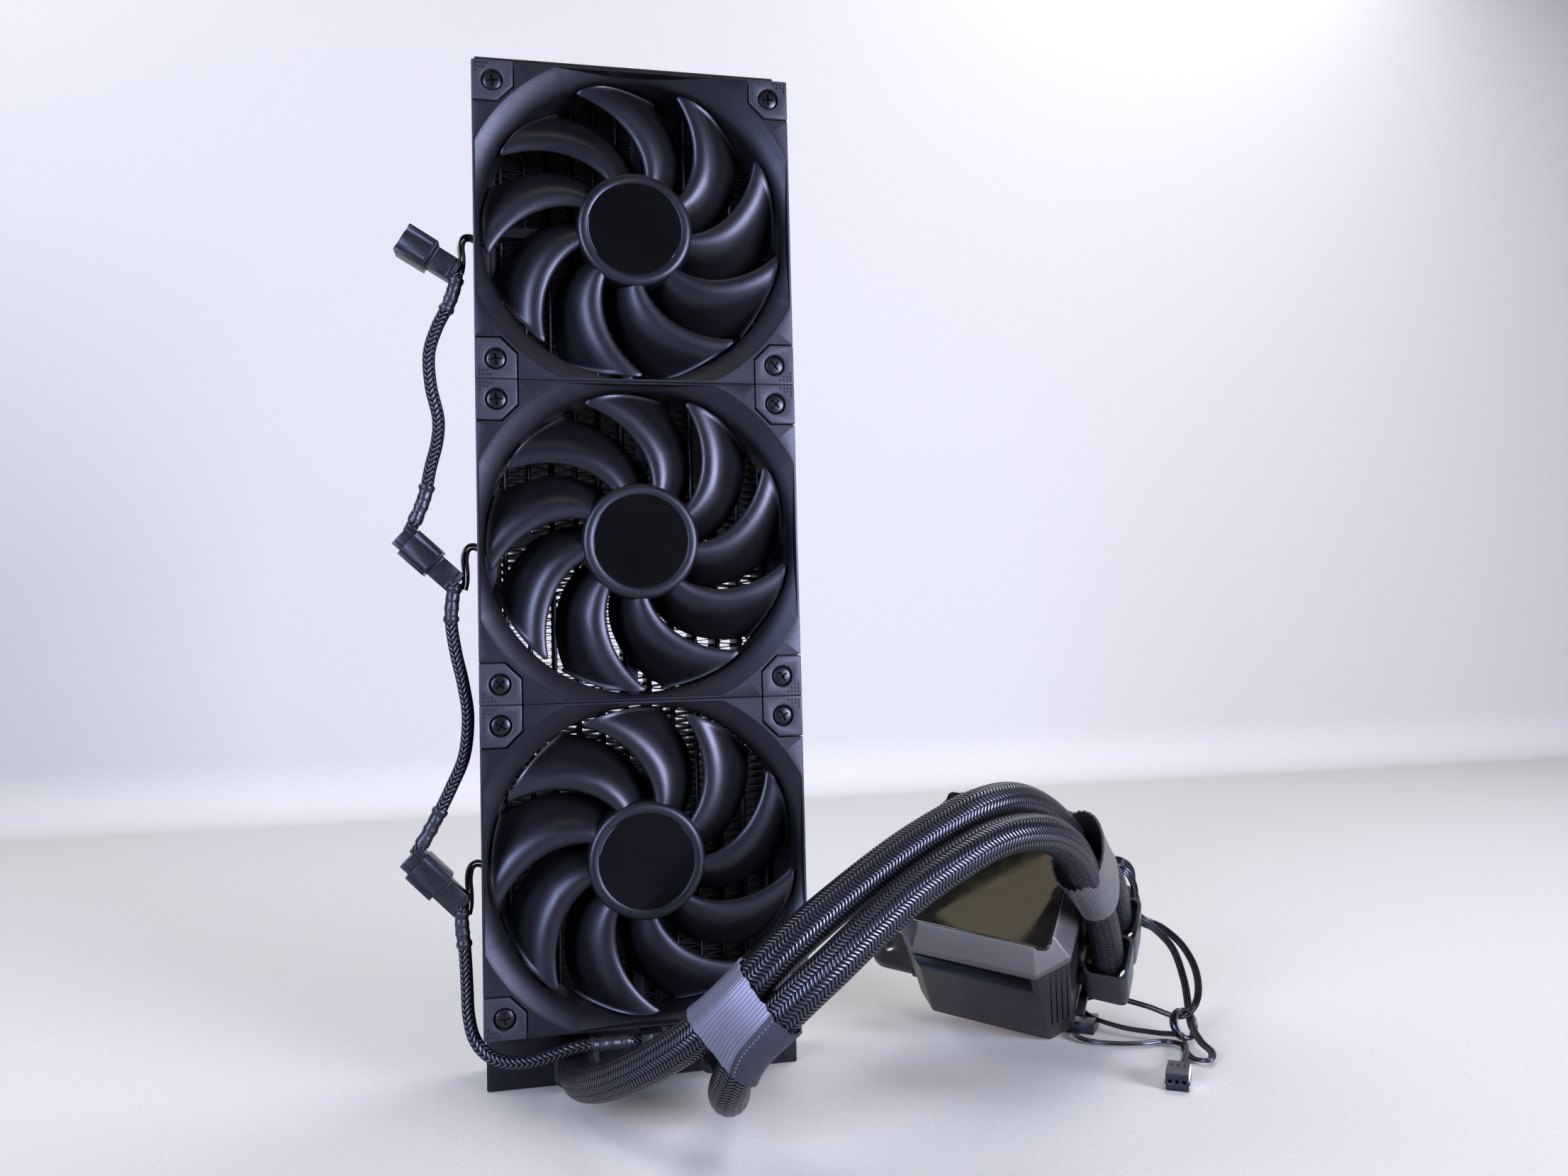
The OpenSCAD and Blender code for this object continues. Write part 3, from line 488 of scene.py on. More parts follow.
def ribbed(name, color, per_turn, rough, depth, dark=None):
    """An elastic sleeve: ribs along the hoses, fine cross threads, by UVs: U runs round once, V is mm along.
    Inside the U range dark, the cloth is painted darker and even in colour: painted shade on the side away from
    the light."""
    thread = 0.42
    m = Mat(name, color, rough, 0.0, 0.5)
    around, along_mm = m.uv()[:2]
    rib = m.wave(around, per_turn, 0.5, 0.5)
    cross = m.wave(along_mm, 1 / thread, 0.5, 0.5)
    weave = m.mad(cross, 0.25, m.mul(rib, 0.75))
    fuzz = m.noise(5.0, 3.0)
    height = m.mad(fuzz, 0.25, weave)
    col = m.mix(m.noise(0.2, 3.0), scaled(color, 0.8), scaled(color, 1.25))
    cloth = m.mix(m.remap(weave, 0.0, 0.5, 0.0, 1.0), scaled(color, 0.45), col)
    gloss = m.remap(fuzz, 0.3, 0.7, rough - 0.06, rough + 0.12)
    if dark:
        inside = m.mul(m.math("GREATER_THAN", around, dark[0]), m.math("LESS_THAN", around, dark[1]))
        # Painted shade: the cloth in the U range dark is darkened to 0.14 of its colour
        cloth = m.mix(inside, scaled(color, 0.14), cloth)
        gloss = m.mad(inside, -0.30, m.math("ADD", gloss, 0.30))
    m.link(cloth, "Base Color")
    m.link(gloss, "Roughness")
    m.link(m.bump(height, 0.8, depth), "Normal")
    return m.m


# The slight blue in the black and white base colours below is a painted cast of the lavender window light
M_FRAME = grained("fan_frame_plastic", (0.0045, 0.0045, 0.006), 0.42, 2.4, 0.06, 0.45, specular=0.34, dust=0.04)
M_BLADE = grained("blade_plastic", (0.0035, 0.0035, 0.0045), 0.38, 2.8, 0.04, 0.4, specular=0.42, dust=0.04)
M_PAD = grained("pad_rubber", (0.011, 0.0115, 0.014), 0.50, 3.2, 0.05, 0.35, dust=0.06)
M_BADGE = grained("badge_gloss", (0.0025, 0.0025, 0.003), 0.14, 1.2, 0.01, 0.05, specular=0.16, rough_vary=0.05)
M_SCREW = grained("screw_black_oxide", (0.010, 0.010, 0.011), 0.30, 3.0, 0.02, 0.2, metallic=0.5)
M_RAD = grained("radiator_paint", (0.0045, 0.0045, 0.005), 0.42, 1.6, 0.03, 0.25, specular=0.30, dust=0.03)
M_FIN = grained("fin_paint", (0.005, 0.005, 0.0055), 0.55, 2.5, 0.02, 0.2)
M_SATIN = grained("satin_black", (0.008, 0.008, 0.009), 0.34, 2.2, 0.02, 0.2)
M_RUBBER = grained("black_rubber", (0.006, 0.006, 0.0065), 0.6, 2.0, 0.05, 0.3)
M_HOUSING = grained("pump_housing_plastic", (0.0045, 0.0045, 0.0048), 0.40, 2.6, 0.03, 0.3, specular=0.36,
                    dust=0.03)
M_BEZEL = grained("bezel_gunmetal", (0.17, 0.168, 0.18), 0.34, 3.6, 0.03, 0.35, metallic=0.9, vary=0.12)
M_SHROUD = grained("shroud_satin_grey", (0.040, 0.040, 0.043), 0.34, 3.2, 0.03, 0.25, metallic=0.5, vary=0.12)
M_CONN = grained("connector_plastic", (0.006, 0.006, 0.007), 0.34, 2.0, 0.03, 0.25)
M_SHRINK = grained("heat_shrink", (0.008, 0.008, 0.009), 0.40, 0.9, 0.08, 0.3)
M_WIRE = grained("wire_skin", (0.006, 0.006, 0.0065), 0.28, 0.6, 0.03, 0.15)
M_STICKER = grained("white_sticker", (0.62, 0.61, 0.70), 0.55, 1.5, 0.02, 0.2, vary=0.05)
M_STEEL = brushed("motor_steel", (0.55, 0.55, 0.56), 0.32)
M_COPPER = brushed("cold_plate_copper", (0.50, 0.27, 0.18), 0.28, (0.2, 5, 5))
M_COIL = brushed("winding_copper", (0.62, 0.28, 0.14), 0.38, (6, 0.5, 6), 0.5)
M_BRONZE = brushed("bearing_bronze", (0.55, 0.40, 0.24), 0.4)
M_BOARD = grained("circuit_board", (0.012, 0.075, 0.04), 0.35, 0.7, 0.03, 0.3, coat=0.3)
M_WHITE = grained("impeller_plastic", (0.62, 0.61, 0.58), 0.4, 2.0, 0.03, 0.2, vary=0.06)
M_PANEL = grained("panel_black", (0.004, 0.004, 0.005), 0.3, 1.0, 0.01, 0.1)
M_HOSE = braid("hose_braid", (0.0075, 0.008, 0.011), (0.0006, 0.0006, 0.0008), 16, 1.35, 1.0, 0.17, 0.15)
M_CABLE = braid("cable_braid", (0.012, 0.012, 0.015), (0.0008, 0.0008, 0.001), 6, 2.0, 1.3, 0.26, 0.32)
M_BAND_GREY = ribbed("band_elastic_grey", (0.060, 0.060, 0.062), 60, 0.34, 0.08)


def glass_material():
    """The dark display window: glossy, olive-brown in the light, with faint smears."""
    m = Mat("display_window", (0.006, 0.006, 0.005), 0.06, 0.0, 0.5)
    m.set("Specular Tint", (1.0, 1.0, 1.0, 1.0))
    smear = m.noise(0.09, 4.0, 0.6, distortion=0.6)
    m.link(m.mix(smear, (0.0045, 0.0045, 0.004), (0.008, 0.008, 0.006)), "Base Color")
    m.link(m.remap(smear, 0.35, 0.7, 0.05, 0.16), "Roughness")
    return m.m


M_GLASS = glass_material()
M_THREAD = grained("seam_thread", (0.16, 0.16, 0.19), 0.45, 4.0, 0.02, 0.3)


# ---- Hoses and cords ----
HOSE_LEFT = [
    (-27, -31, 12.5), (-27, -43, 13), (-25, -57, 15.5), (-20, -71, 20), (-12, -84, 26.5),
    (-2, -96, 35), (9, -106, 45), (22, -113.5, 58.5), (37, -114, 72), (56, -110, 84.5),
    (77, -105, 96.5), (96, -100.5, 105), (109, -96.5, 109), (122, -89.5, 109.5),
    (135, -80, 105.5), (148, -68.5, 98), (160, -57, 88.5), (171, -50.5, 80), (181, -43.5, 71),
    (187, -36, 62), (191.6, -29.6, 53.2), (194.7, -24.2, 46.6)]
HOSE_RIGHT = [
    (27, -31, 12.5), (27, -46, 12.5), (26, -62, 13.5), (23, -78, 15.5), (20, -92, 19),
    (18, -103, 25), (19, -111, 33), (22, -117, 41.5), (29, -121.5, 50), (38, -123.5, 58.5),
    (48, -123.5, 66.5), (61, -121, 76), (78, -117, 87), (96, -113, 95.5), (108, -109, 99.5),
    (120, -104, 100.5), (133, -96, 98), (146, -85, 91), (157, -72, 80), (167, -60.5, 67.5),
    (172.5, -53.5, 59), (176.5, -48, 52), (181, -41.2, 43), (185.3, -34.1, 34.1)]
HOSE_D = 13.0


def make_hose(name, route):
    shape, pts = sweep(route, circle(HOSE_D / 2, 72), 0.8, first=(1, 0, 0.2))
    ob = place(name + "_braid", shape.mesh(name), M_HOSE, ROOT, [name])
    return ob, pts


hose_left, left_pts = make_hose("hose_left", HOSE_LEFT)
hose_right, right_pts = make_hose("hose_right", HOSE_RIGHT)


def crossing(pts, centre, run):
    """Where a hose's centreline crosses the plane through centre, square to run."""
    d = (pts - centre) @ run
    near = np.argsort(np.linalg.norm(pts - centre, axis=1))[:80]
    lo, hi = near.min(), near.max()
    for i in range(lo, hi):
        if d[i] <= 0 < d[i + 1] or d[i + 1] <= 0 < d[i]:
            t = d[i] / (d[i] - d[i + 1])
            return pts[i] + t * (pts[i + 1] - pts[i])
    return pts[near[0]]


def stadium(a, b, r):
    """The line round two circles of radius r, centred at 2-D points a and b, with evenly spaced points."""
    bend, flat = 22, 8
    ang = math.atan2(b[1] - a[1], b[0] - a[0])
    out = []
    for c, other, start in ((b, a, ang - math.pi / 2), (a, b, ang + math.pi / 2)):
        def reach(t):
            return r * np.array((math.cos(start + t), math.sin(start + t)))
        out += [tuple(c + reach(math.pi * k / bend)) for k in range(bend + 1)]
        p0, p1 = c + reach(math.pi), other + reach(math.pi)
        out += [tuple(p0 + (p1 - p0) * k / flat) for k in range(1, flat)]
    return out


def unit(v):
    v = np.array(v, float)
    return v / np.linalg.norm(v)


def sleeve(end, rings, heights, material, thickness):
    """A cloth sleeve through rings of points, with heights as its V."""
    mesh = Shape().loft(rings, False, heights).mesh("band_" + end, 60)
    ob = place(f"band_{end}_sleeve", mesh, material, ROOT, ["hose_band_" + end])
    mod = ob.modifiers.new("thick", "SOLIDIFY")
    mod.thickness, mod.offset, mod.use_even_offset = thickness * MM, 1.0, True
    baked(ob)
    shade(ob.data, 50)
    return ob


SEAM_AT = (19.5, -124.0, 43.7)
LOWER_BAND = 23.0


def lower_band():
    """A tight elastic sleeve round both hoses, with a ragged upper edge. Its seam is a column of its rings."""
    run = unit((9.5, -4.5, 10.5))
    middle = np.array((21.8, -115.2, 49.4))
    x = unit(np.array((9, -10, -7)) - np.array((9, -10, -7)) @ run * run)
    y = np.cross(run, x)
    rings, vs, rows = [], [], 22
    for i in range(rows + 1):
        s = LOWER_BAND * (i / rows - 0.5)
        c = middle + run * s
        a = crossing(left_pts, c, run)
        b = crossing(right_pts, c, run)
        a2, b2 = np.array(((a - c) @ x, (a - c) @ y)), np.array(((b - c) @ x, (b - c) @ y))
        pull = 0.35 * math.cos(math.pi * s / LOWER_BAND)
        loop = stadium(a2, b2, HOSE_D / 2 + 0.75 - pull)
        ring_ = []
        for k, (p, q) in enumerate(loop):
            edge = (i == rows) * (0.35 * math.sin(k * 2.3) + 0.25 * math.sin(k * 5.1 + 1)) \
                + (i == 0) * 0.15 * math.sin(k * 1.7)
            ring_.append(tuple(c + x * p + y * q + run * edge))
        rings.append(ring_)
        vs.append(s)
    middle_ring = np.array(rings[rows // 2])
    column = int(np.argmin(np.linalg.norm(middle_ring - np.array(SEAM_AT), axis=1)))
    n = len(middle_ring)
    # The columns on one side of the seam get painted shade
    beyond = [k for k in range(n) if (middle_ring[k] - middle_ring[column]) @ x > 0]
    painted_shade_u = (max((k for k in beyond if k < n / 2), default=0) / n,
             min((k for k in beyond if k > n / 2), default=n) / n)
    # The band's grey is raised and tinted lavender as a painted highlight of the left window light; one side of
    # the seam gets painted shade
    mat = ribbed("band_elastic", (0.085, 0.089, 0.125), 84, 0.28, 0.045, painted_shade_u)
    return sleeve("lower", rings, vs, mat, 0.9), rings, column


def seam(name, rings, column, mat):
    """A row of short stitches along a sleeve."""
    shape = Shape()
    line = [np.array(r[column]) for r in rings]
    out = [np.array(r[column]) - np.array(r).mean(0) for r in rings]
    pts = along(line, 0.25)[0]
    normal = unit(np.mean(out, axis=0))
    for k in range(0, len(pts) - 5, 6):
        part = [p + normal * (0.95 + 0.12 * math.sin(math.pi * j / 3)) for j, p in enumerate(pts[k:k + 4])]
        shape.join(sweep(part, circle(0.16, 8), 0.3)[0])
    return place(name, shape.mesh(name), mat, ROOT)


band_low, low_rings, seam_column = lower_band()
low_seam = seam("band_lower_seam", low_rings, seam_column, M_THREAD)


def upper_band():
    """A loose sleeve: snug below, a wide ragged mouth above that lets the hoses bend out."""
    middle = np.array((165.6, -58.6, 78.2))
    run = -unit((12, 9.5, -14))
    low, top = middle - run * 11, middle + run * 11
    spread = np.array((5, 10.5, 12))
    x = unit(spread - spread @ run * run)
    y = np.cross(run, x)
    rings, vs, rows = [], [], 26
    height = np.linalg.norm(top - low)
    for i in range(rows + 1):
        t = i / rows
        c = low + run * height * t
        half = 16.0 - 0.9 * math.sin(math.pi * t)
        thin = 8.0 + 2.8 * t ** 1.2
        ring_ = []
        for k in range(96):
            a = 2 * math.pi * k / 96
            ca, sa = math.cos(a), math.sin(a)
            e = 2.6 - 0.5 * t
            px = half * math.copysign(abs(ca) ** (2 / e), ca)
            py = thin * math.copysign(abs(sa) ** (2 / e), sa)
            ragged = (i == rows) * (0.4 * math.sin(k * 1.9) + 0.3 * math.sin(k * 4.3))
            lift = t * (1.6 * ca - 3.0 * sa) + ragged
            ring_.append(tuple(c + x * px + y * py + run * lift))
        rings.append(ring_)
        vs.append(height * t)
    return sleeve("upper", rings, vs, M_BAND_GREY, 0.8)


band_up = upper_band()

# Fan leads, fan cables and pump leads
FAN_LEAD = [(-51, -15.9, -1.2), (-56, -15.8, -1.2), (-60, -15.7, -0.6), (-62.6, -15.8, 0), (-64.6, -17, -1.2),
            (-65.4, -19.5, -5), (-65, -22.5, -10), (-65, -24.3, -14), (-65.6, -24.6, -17)]
CABLES = {
    "top": [(-66.5, -28, 308), (-67.5, -28, 303), (-70, -27.5, 296), (-74, -27, 288), (-77, -26.5, 278),
            (-76.5, -26, 266), (-74, -26, 254), (-74.5, -26, 245), (-77, -26, 235), (-79, -26, 225),
            (-82, -26, 217), (-85, -26, 211)],
    "middle": [(-68.5, -28, 192), (-69.5, -28, 186), (-70, -28, 177), (-68.5, -27.5, 166), (-66, -27, 154),
               (-64.5, -27, 142), (-66, -27, 128), (-71, -26.5, 116), (-77, -26, 104), (-81, -26, 97),
               (-84, -26, 92.5)],
    "bottom": [(-67.5, -28, 73), (-67.5, -28, 66), (-66.5, -28, 56), (-66, -28, 44), (-65.5, -29, 34),
               (-63.5, -31, 26), (-59, -33, 20.5), (-52, -35, 17.8), (-44, -37, 18), (-36, -39, 20),
               (-28, -40.5, 22.3), (-20, -40, 22.8), (-12, -38.5, 22.4), (-4, -37, 22)]}
SOCKETS = {"bottom": (-67, 72.5, 46), "middle": (-68, 191.5, 43), "top": (-66.5, 309, 31.6)}
PUMP_LEADS = [
    [(192.8, -19.4, 73), (199, -22.5, 72), (204.5, -20, 67), (208, -14, 58), (211, -8, 49),
     (217, -5, 43), (225, -7, 39), (231, -13, 32), (232, -21, 23), (227, -29, 14),
     (217, -33, 9.5), (207, -24, 12), (199, -14, 13), (192, -6, 12), (188, -3, 8.5),
     (190, -8, 4.5), (198, -20, 3), (208, -30, 3), (214, -37, 3.5), (210, -49, 2.5),
     (202, -61, 2.5), (194, -71, 3)],
    [(190.8, -21.5, 70.3), (198, -26, 69), (203, -24.5, 62), (207, -18, 52), (212, -12, 44),
     (219, -11, 40), (225, -15, 32), (225, -23, 21), (222, -31, 11.5), (219, -38, 7),
     (217, -48, 4), (216, -57, 3), (212, -62, 2), (208, -58, 1.5), (209, -50, 1.5),
     (212, -42, 1.5), (207, -36, 1.5), (197, -36, 1.5), (186, -32.5, 1.5), (178.5, -26.5, 1.5),
     (177, -19.5, 1.5), (181, -14, 1.5)]]


def wires(route, offsets, r, step, first, twist=0.0):
    """Wires side by side along one route: offsets are (a, b) from its middle, turning by twist degrees a mm."""
    pts, tan, s = along(route, step)
    side = carried(tan, first)
    out = Shape()
    for a, b in offsets:
        rings = []
        for p, t, u, d in zip(pts, tan, side, s):
            w = np.cross(t, u)
            q = math.radians(twist * d)
            ca, cb = a * math.cos(q) - b * math.sin(q), a * math.sin(q) + b * math.cos(q)
            rings.append([tuple(p + (ca + x) * u + (cb + y) * w) for x, y in circle(r, 10)])
        out.join(Shape().loft(rings, True, [float(v) for v in s]))
    return out, pts


def socket_matrix(name):
    x, z, lean = SOCKETS[name]
    return Matrix.Translation((x, -26, z)) @ turn(180 + lean, "Y")


def plug_part(name, shape, matrix, round_by, cut=None, material=M_CONN):
    return solid(name, shape, material, cut=cut, round_by=round_by, matrix=matrix)


def fan_socket(name):
    """The socket on a fan's lead: a slim tail, a wider mouth with ridges, and open inside."""
    at = socket_matrix(name)
    tail = plug_part("socket_tail_" + name, Shape().box(0, 12.4, -3.4, 3.4, -4.4, 4.4), at, 0.35)
    mouth = Shape().box(11, 23, -4.6, 4.6, -5.8, 5.8)
    hole = Shape().box(14, 25, -3.4, 3.4, -4.6, 4.6)
    for z in (-3.2, 3.2):
        hole.box(12, 24, -4.9, -4.1, z - 0.8, z + 0.8)
    front = plug_part("socket_mouth_" + name, mouth, at, 0.3, hole)
    ridges = Shape()
    for z in (-4.9, 0.0, 4.9):
        ridges.box(11.6, 22.4, 4.5, 5.1, z - 0.45, z + 0.45)
    for x in (1.0, 9.6):
        ridges.box(x, x + 1.6, -3.7, -3.3, -4.0, 4.0)
    return [tail, front, plug_part("socket_ribs_" + name, ridges, at, 0.15)]


def fan_plug(name, matrix):
    """A fan cable's plug: four contact holes, four windows and its guide rails."""
    cut = Shape()
    for k in (-3.15, -1.05, 1.05, 3.15):
        cut.box(-1, 8, -0.6, 0.6, k - 0.6, k + 0.6)
        cut.box(2.0, 5.0, 2.5, 4.0, k - 0.55, k + 0.55)
    ob = plug_part(name, Shape().box(0, 13, -3.2, 3.2, -4.4, 4.4), matrix, 0.25, cut)
    rail = Shape().box(9, 13, -3.2, 3.2, -5.4, -4.3)
    rail.box(3, 12.6, -3.6, -3.1, -3.4, -2.6).box(3, 12.6, -3.6, -3.1, 2.6, 3.4)
    return [ob, plug_part(name + "_rails", rail, matrix, 0.2)]


LEAD_WIRES = [(0.85, 0.35), (-0.85, 0.35), (0.42, -0.62), (-0.42, 0.95)]
for fan, zc in FAN_Z.items():
    route = [(x, y, z + zc) for x, y, z in FAN_LEAD]
    shape, pts = wires(route, LEAD_WIRES, 0.62, 0.8, (0.2, 0.3, 1), 2.0)
    lead = place("fan_lead_" + fan, shape.mesh("fan_lead"), M_WIRE, ROOT, ["fan_leads"])
    sock = fan_socket(fan)
    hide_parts("fan_sockets")

PLUG_IN = Matrix.Translation((14.2, 0, 0))
PLUG_PLACES = {
    "top": socket_matrix("middle") @ PLUG_IN,
    "middle": socket_matrix("bottom") @ PLUG_IN,
    "bottom": Matrix.Translation((9, -37, 22)) @ turn(180, "Z") @ turn(90, "X")}


def shrink_tube(name, pts, i0, i1, r):
    """A heat-shrunk cover over part of a cable, wrinkled and a little wider at its ends."""
    part = [tuple(p) for p in pts[i0:i1:4]] + [tuple(pts[i1])]

    def section(d, length):
        k = d / max(length, 1e-6)
        swell = 0.35 * math.exp(-((d - 1.0) / 0.9) ** 2) + 0.3 * math.exp(-((length - d - 1.0) / 0.9) ** 2)
        rr = r + swell + 0.10 * math.sin(d * 1.7) + 0.06 * math.sin(d * 3.9 + k)
        return [(rr * (1 + 0.03 * math.sin(3 * a + d)) * math.cos(a),
                 rr * (1 + 0.03 * math.sin(2 * a - d)) * math.sin(a))
                for a in [2 * math.pi * j / 24 for j in range(24)]]
    shape, _ = sweep(part, section, 0.5)
    return place(name, shape.mesh(name, 60), M_SHRINK, ROOT)


CABLE_STEP = 0.7
for name, route in CABLES.items():
    shape, pts = sweep(route, circle(2.3, 36), CABLE_STEP)
    cable = place("fan_cable_" + name, shape.mesh("fan_cable"), M_CABLE, ROOT, ["fan_cables"])
    n = len(pts)
    pieces = [shrink_tube("shrink_a_" + name, pts, 2, int(15 / CABLE_STEP), 2.55),
              shrink_tube("shrink_b_" + name, pts, n - int(20 / CABLE_STEP), n - int(5 / CABLE_STEP), 2.55)]
    plug = fan_plug("fan_plug_" + name, PLUG_PLACES[name])
    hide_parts("fan_plugs")

PUMP_PLUG = Matrix.Translation((194, -71, 3.6)) @ turn(-124, "Z")
BACK_PLUG = Matrix.Translation((181, -14, 3)) @ turn(54, "Z")


def pump_plug():
    """The plug on the lead in front, with a blank sticker."""
    cut = Shape()
    for k in (-2.5, 0, 2.5):
        cut.box(8, 16, k - 0.6, k + 0.6, -0.8, 0.4)
        cut.box(4, 7, k - 0.5, k + 0.5, 2.6, 4.0)
    rails = Shape().box(2, 13, -4.4, -3.9, -1.6, -0.8).box(2, 13, 3.9, 4.4, -1.6, -0.8)
    face = Shape().box(1.0, 11.0, 3.98, 4.14, -3.0, 2.6)
    return [plug_part("pump_plug_front", Shape().box(0, 14, -4, 4, -3.4, 3.0), PUMP_PLUG, 0.3, cut),
            plug_part("pump_plug_rails", rails, PUMP_PLUG, 0.15),
            plug_part("pump_plug_sticker", face, PUMP_PLUG, 0.06, material=M_STICKER)]


def back_plug():
    """The wider plug on the lead behind."""
    cut = Shape()
    for k in (-4.0, 0, 4.0):
        cut.box(10, 15, k - 1.2, k + 1.2, -1.5, 0.8)
    return [plug_part("pump_plug_back", Shape().box(0, 14, -6, 6, -3, 2), BACK_PLUG, 0.3, cut)]


RIBBON = [(-0.98, 0.1), (0.0, -0.12), (0.98, 0.1)]
lead_plugs = [pump_plug(), back_plug()]
for letter, route, side, plugs in zip("ab", PUMP_LEADS, ((0.2, 0.1, 1), (0.1, 0.4, 1)), lead_plugs):
    shape, pts = wires(route, RIBBON, 0.56, 0.9, side)
    lead = place("pump_lead_" + letter, shape.mesh("pump_lead"), M_WIRE, ROOT, ["pump_leads"])
    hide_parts("pump_plugs")


def lead_tie():
    """The tie round the pump leads: a wire loop knotted on itself."""
    m = Matrix.Translation((217, -35, 7)) @ Euler((math.radians(62), 0, math.radians(20))).to_matrix().to_4x4()
    shape = Shape()
    for dz, r, tilt in ((-0.9, 5.6, 4), (0.5, 5.8, -5), (1.6, 5.4, 8)):
        loop = []
        for k in range(25):
            a = 2 * math.pi * k / 24
            p = m @ Vector((r * math.cos(a), r * math.sin(a), dz + math.sin(a) * math.radians(tilt) * r))
            loop.append(tuple(p))
        shape.join(sweep(loop, circle(0.75, 10), 0.8)[0])
    return place("lead_tie", shape.mesh("lead_tie"), M_WIRE, ROOT)


lead_tie()


# ---- Radiator ----
TUBES = 12
TUBE_T, CORE_D = 2.0, 20.0
COLUMN = (RAD_W - 2.4 - TUBES * TUBE_T) / (TUBES + 1)
TUBE_PITCH = COLUMN + TUBE_T


def radiator_core():
    tubes = Shape()
    for i in range(TUBES):
        x = (i - (TUBES - 1) / 2) * TUBE_PITCH
        tubes.prism(rounded(TUBE_T, CORE_D, 0.95, 5, x, 0), TANK_H - 1.6, UPPER_Z + 1.6)
    place("core_tubes_flat", tubes.mesh("core_tubes"), M_RAD, ROOT, ["core_tubes"])
    fins = Shape()
    folds = 244
    step = (UPPER_Z - TANK_H) / folds
    half, t, d = COLUMN / 2 - 0.01, 0.16, CORE_D / 2
    bend = 0.5
    for i in range(TUBES + 1):
        xc = (i - (TUBES - 1) / 2) * TUBE_PITCH - TUBE_PITCH / 2
        pts = []
        for k in range(folds):
            side = -1 if k % 2 == 0 else 1
            pts += [(xc + side * x, TANK_H + (k + part) * step)
                    for x, part in ((half, 0.12), (half - bend, 0.30), (bend - half, 0.70), (-half, 0.88))]
        runs = len(pts) - 1
        v = []
        for x, z in pts:
            v += [(x, -d, z), (x, d, z), (x, d, z + t), (x, -d, z + t)]
        f = []
        for k in range(runs):
            a, b = 4 * k, 4 * (k + 1)
            f += [(a, b, b + 1, a + 1), (a + 3, a + 2, b + 2, b + 3), (a, a + 3, b + 3, b),
                  (a + 1, b + 1, b + 2, a + 2)]
        f += [(0, 1, 2, 3), tuple(4 * runs + j for j in (3, 2, 1, 0))]
        fins.add(v, f)
    place("core_fin_strips", fins.mesh("core_fins", 20, weld=False), M_FIN, ROOT, ["core_fins"])


radiator_core()


def lying(x, y, z, degrees=90):
    """Moves a shape to (x, y, z) with its Z axis turned forward, or by other degrees about X."""
    return Matrix.Translation((x, y, z)) @ turn(degrees, "X")


def tank(node, z0, z1, open_low):
    """A thin-walled tank, open towards the core. The lower one has the ports and the fill hole."""
    wall = 1.6
    x, y = RAD_W / 2, RAD_T / 2
    ob = work(Shape().box(-x, x, -y, y, z0, z1), node)
    boolean(ob, Shape().box(wall - x, x - wall, wall - y, y - wall, z0 - 1 if open_low else z0 + wall,
                            z1 - wall if open_low else z1 + 1))
    if not open_low:
        for port in (-PORT_X, PORT_X):
            boolean(ob, rod(4.5, 0, 20, 40).moved(lying(port, -5, PORT_Z)))
        boolean(ob, rod(6.0, 0, 20, 48).moved(lying(FILL_X, 10.9, PORT_Z, -90)))
    bevel(ob, 0.9, 3, 40)
    done(ob, node + "_shell", M_RAD, [node])


tank("upper_tank", UPPER_Z, RAD_H, True)
tank("lower_tank", 0.0, TANK_H, False)


def side_rails():
    """The folded channels beside the core, with screw tabs for the fans in front and the case behind."""
    t, w, x, y = 1.2, 7.5, RAD_W / 2, RAD_T / 2
    profile = [(x, -y), (x, y), (x - w, y), (x - w, y - t), (x - t, y - t), (x - t, t - y), (x - w, t - y),
               (x - w, -y)]
    for s, side in ((-1, "left"), (1, "right")):
        ob = work(Shape().prism([(s * a, b) for a, b in profile], TANK_H, UPPER_Z), "rail")
        tabs, holes = Shape(), Shape()
        for z in [zc + q * SCREW for zc in FAN_Z.values() for q in (-1, 1)]:
            for tab_y in (-y, y - t):
                tabs.box(*sorted((s * 46.0, s * 53.0)), tab_y, tab_y + t, z - 7, z + 7)
            for hole_y, r in ((-10, 1.65), (16, 1.4)):
                holes.join(rod(r, 0, 6, 32).moved(lying(s * SCREW, hole_y, z)))
        boolean(ob, tabs, "UNION")
        boolean(ob, holes)
        bevel(ob, 0.3, 2, 40)
        done(ob, "side_rail_" + side, M_RAD, ["side_rails"])


side_rails()


def ports():
    """The rounded collars where the hoses leave the lower tank."""
    for x, side in ((-PORT_X, "left"), (PORT_X, "right")):
        ob = work(Shape().prism(rounded(16.4, 15.0, 4.2, 8), 0, 16), "collar", 35)
        boolean(ob, rod(6.55, 5.5, 20, 64))
        boolean(ob, rod(4.5, -1, 20, 48))
        bevel(ob, 0.5, 3, 50)
        done(ob, "port_collar_" + side, M_SATIN, ["port_collars"], lying(x, -15.0, PORT_Z))


ports()


def fill_plug():
    body = Shape().lathe([(AXIS, 0), (5.3, 0), (5.8, 0.4), (5.8, 1.6), (4.0, 1.6), (4.0, 5.0), (AXIS, 5.0)], 64)
    solid("fill_plug_screw", body, M_SATIN, ["fill_plug"], cut=rod(2.3, -1, 2.6, 6),
          matrix=lying(FILL_X, RAD_T / 2, PORT_Z))


fill_plug()


# ---- Fans ----
def square_radius(a, half, r):
    """How far a ray at angle a goes inside a square with round corners."""
    c, s = abs(math.cos(a)), abs(math.sin(a))
    k = half - r
    if s > c:
        c, s = s, c
    flat = half / c
    if flat * s <= k:
        return flat
    b = k * (c + s)
    return b + math.sqrt(max(0.0, b * b - 2 * k * k + r * r))


def fan_matrix(fan):
    return lying(0, FRONT_Y, FAN_Z[fan])


def pad_outline(grow=0.0, edge=60.0):
    w, h, c = 15.2 + grow, 15.3 + grow, 6.0
    left, low = edge - w, edge - h
    return [(edge, edge), (left, edge), (left, low + c), (left + c, low), (edge, low)]


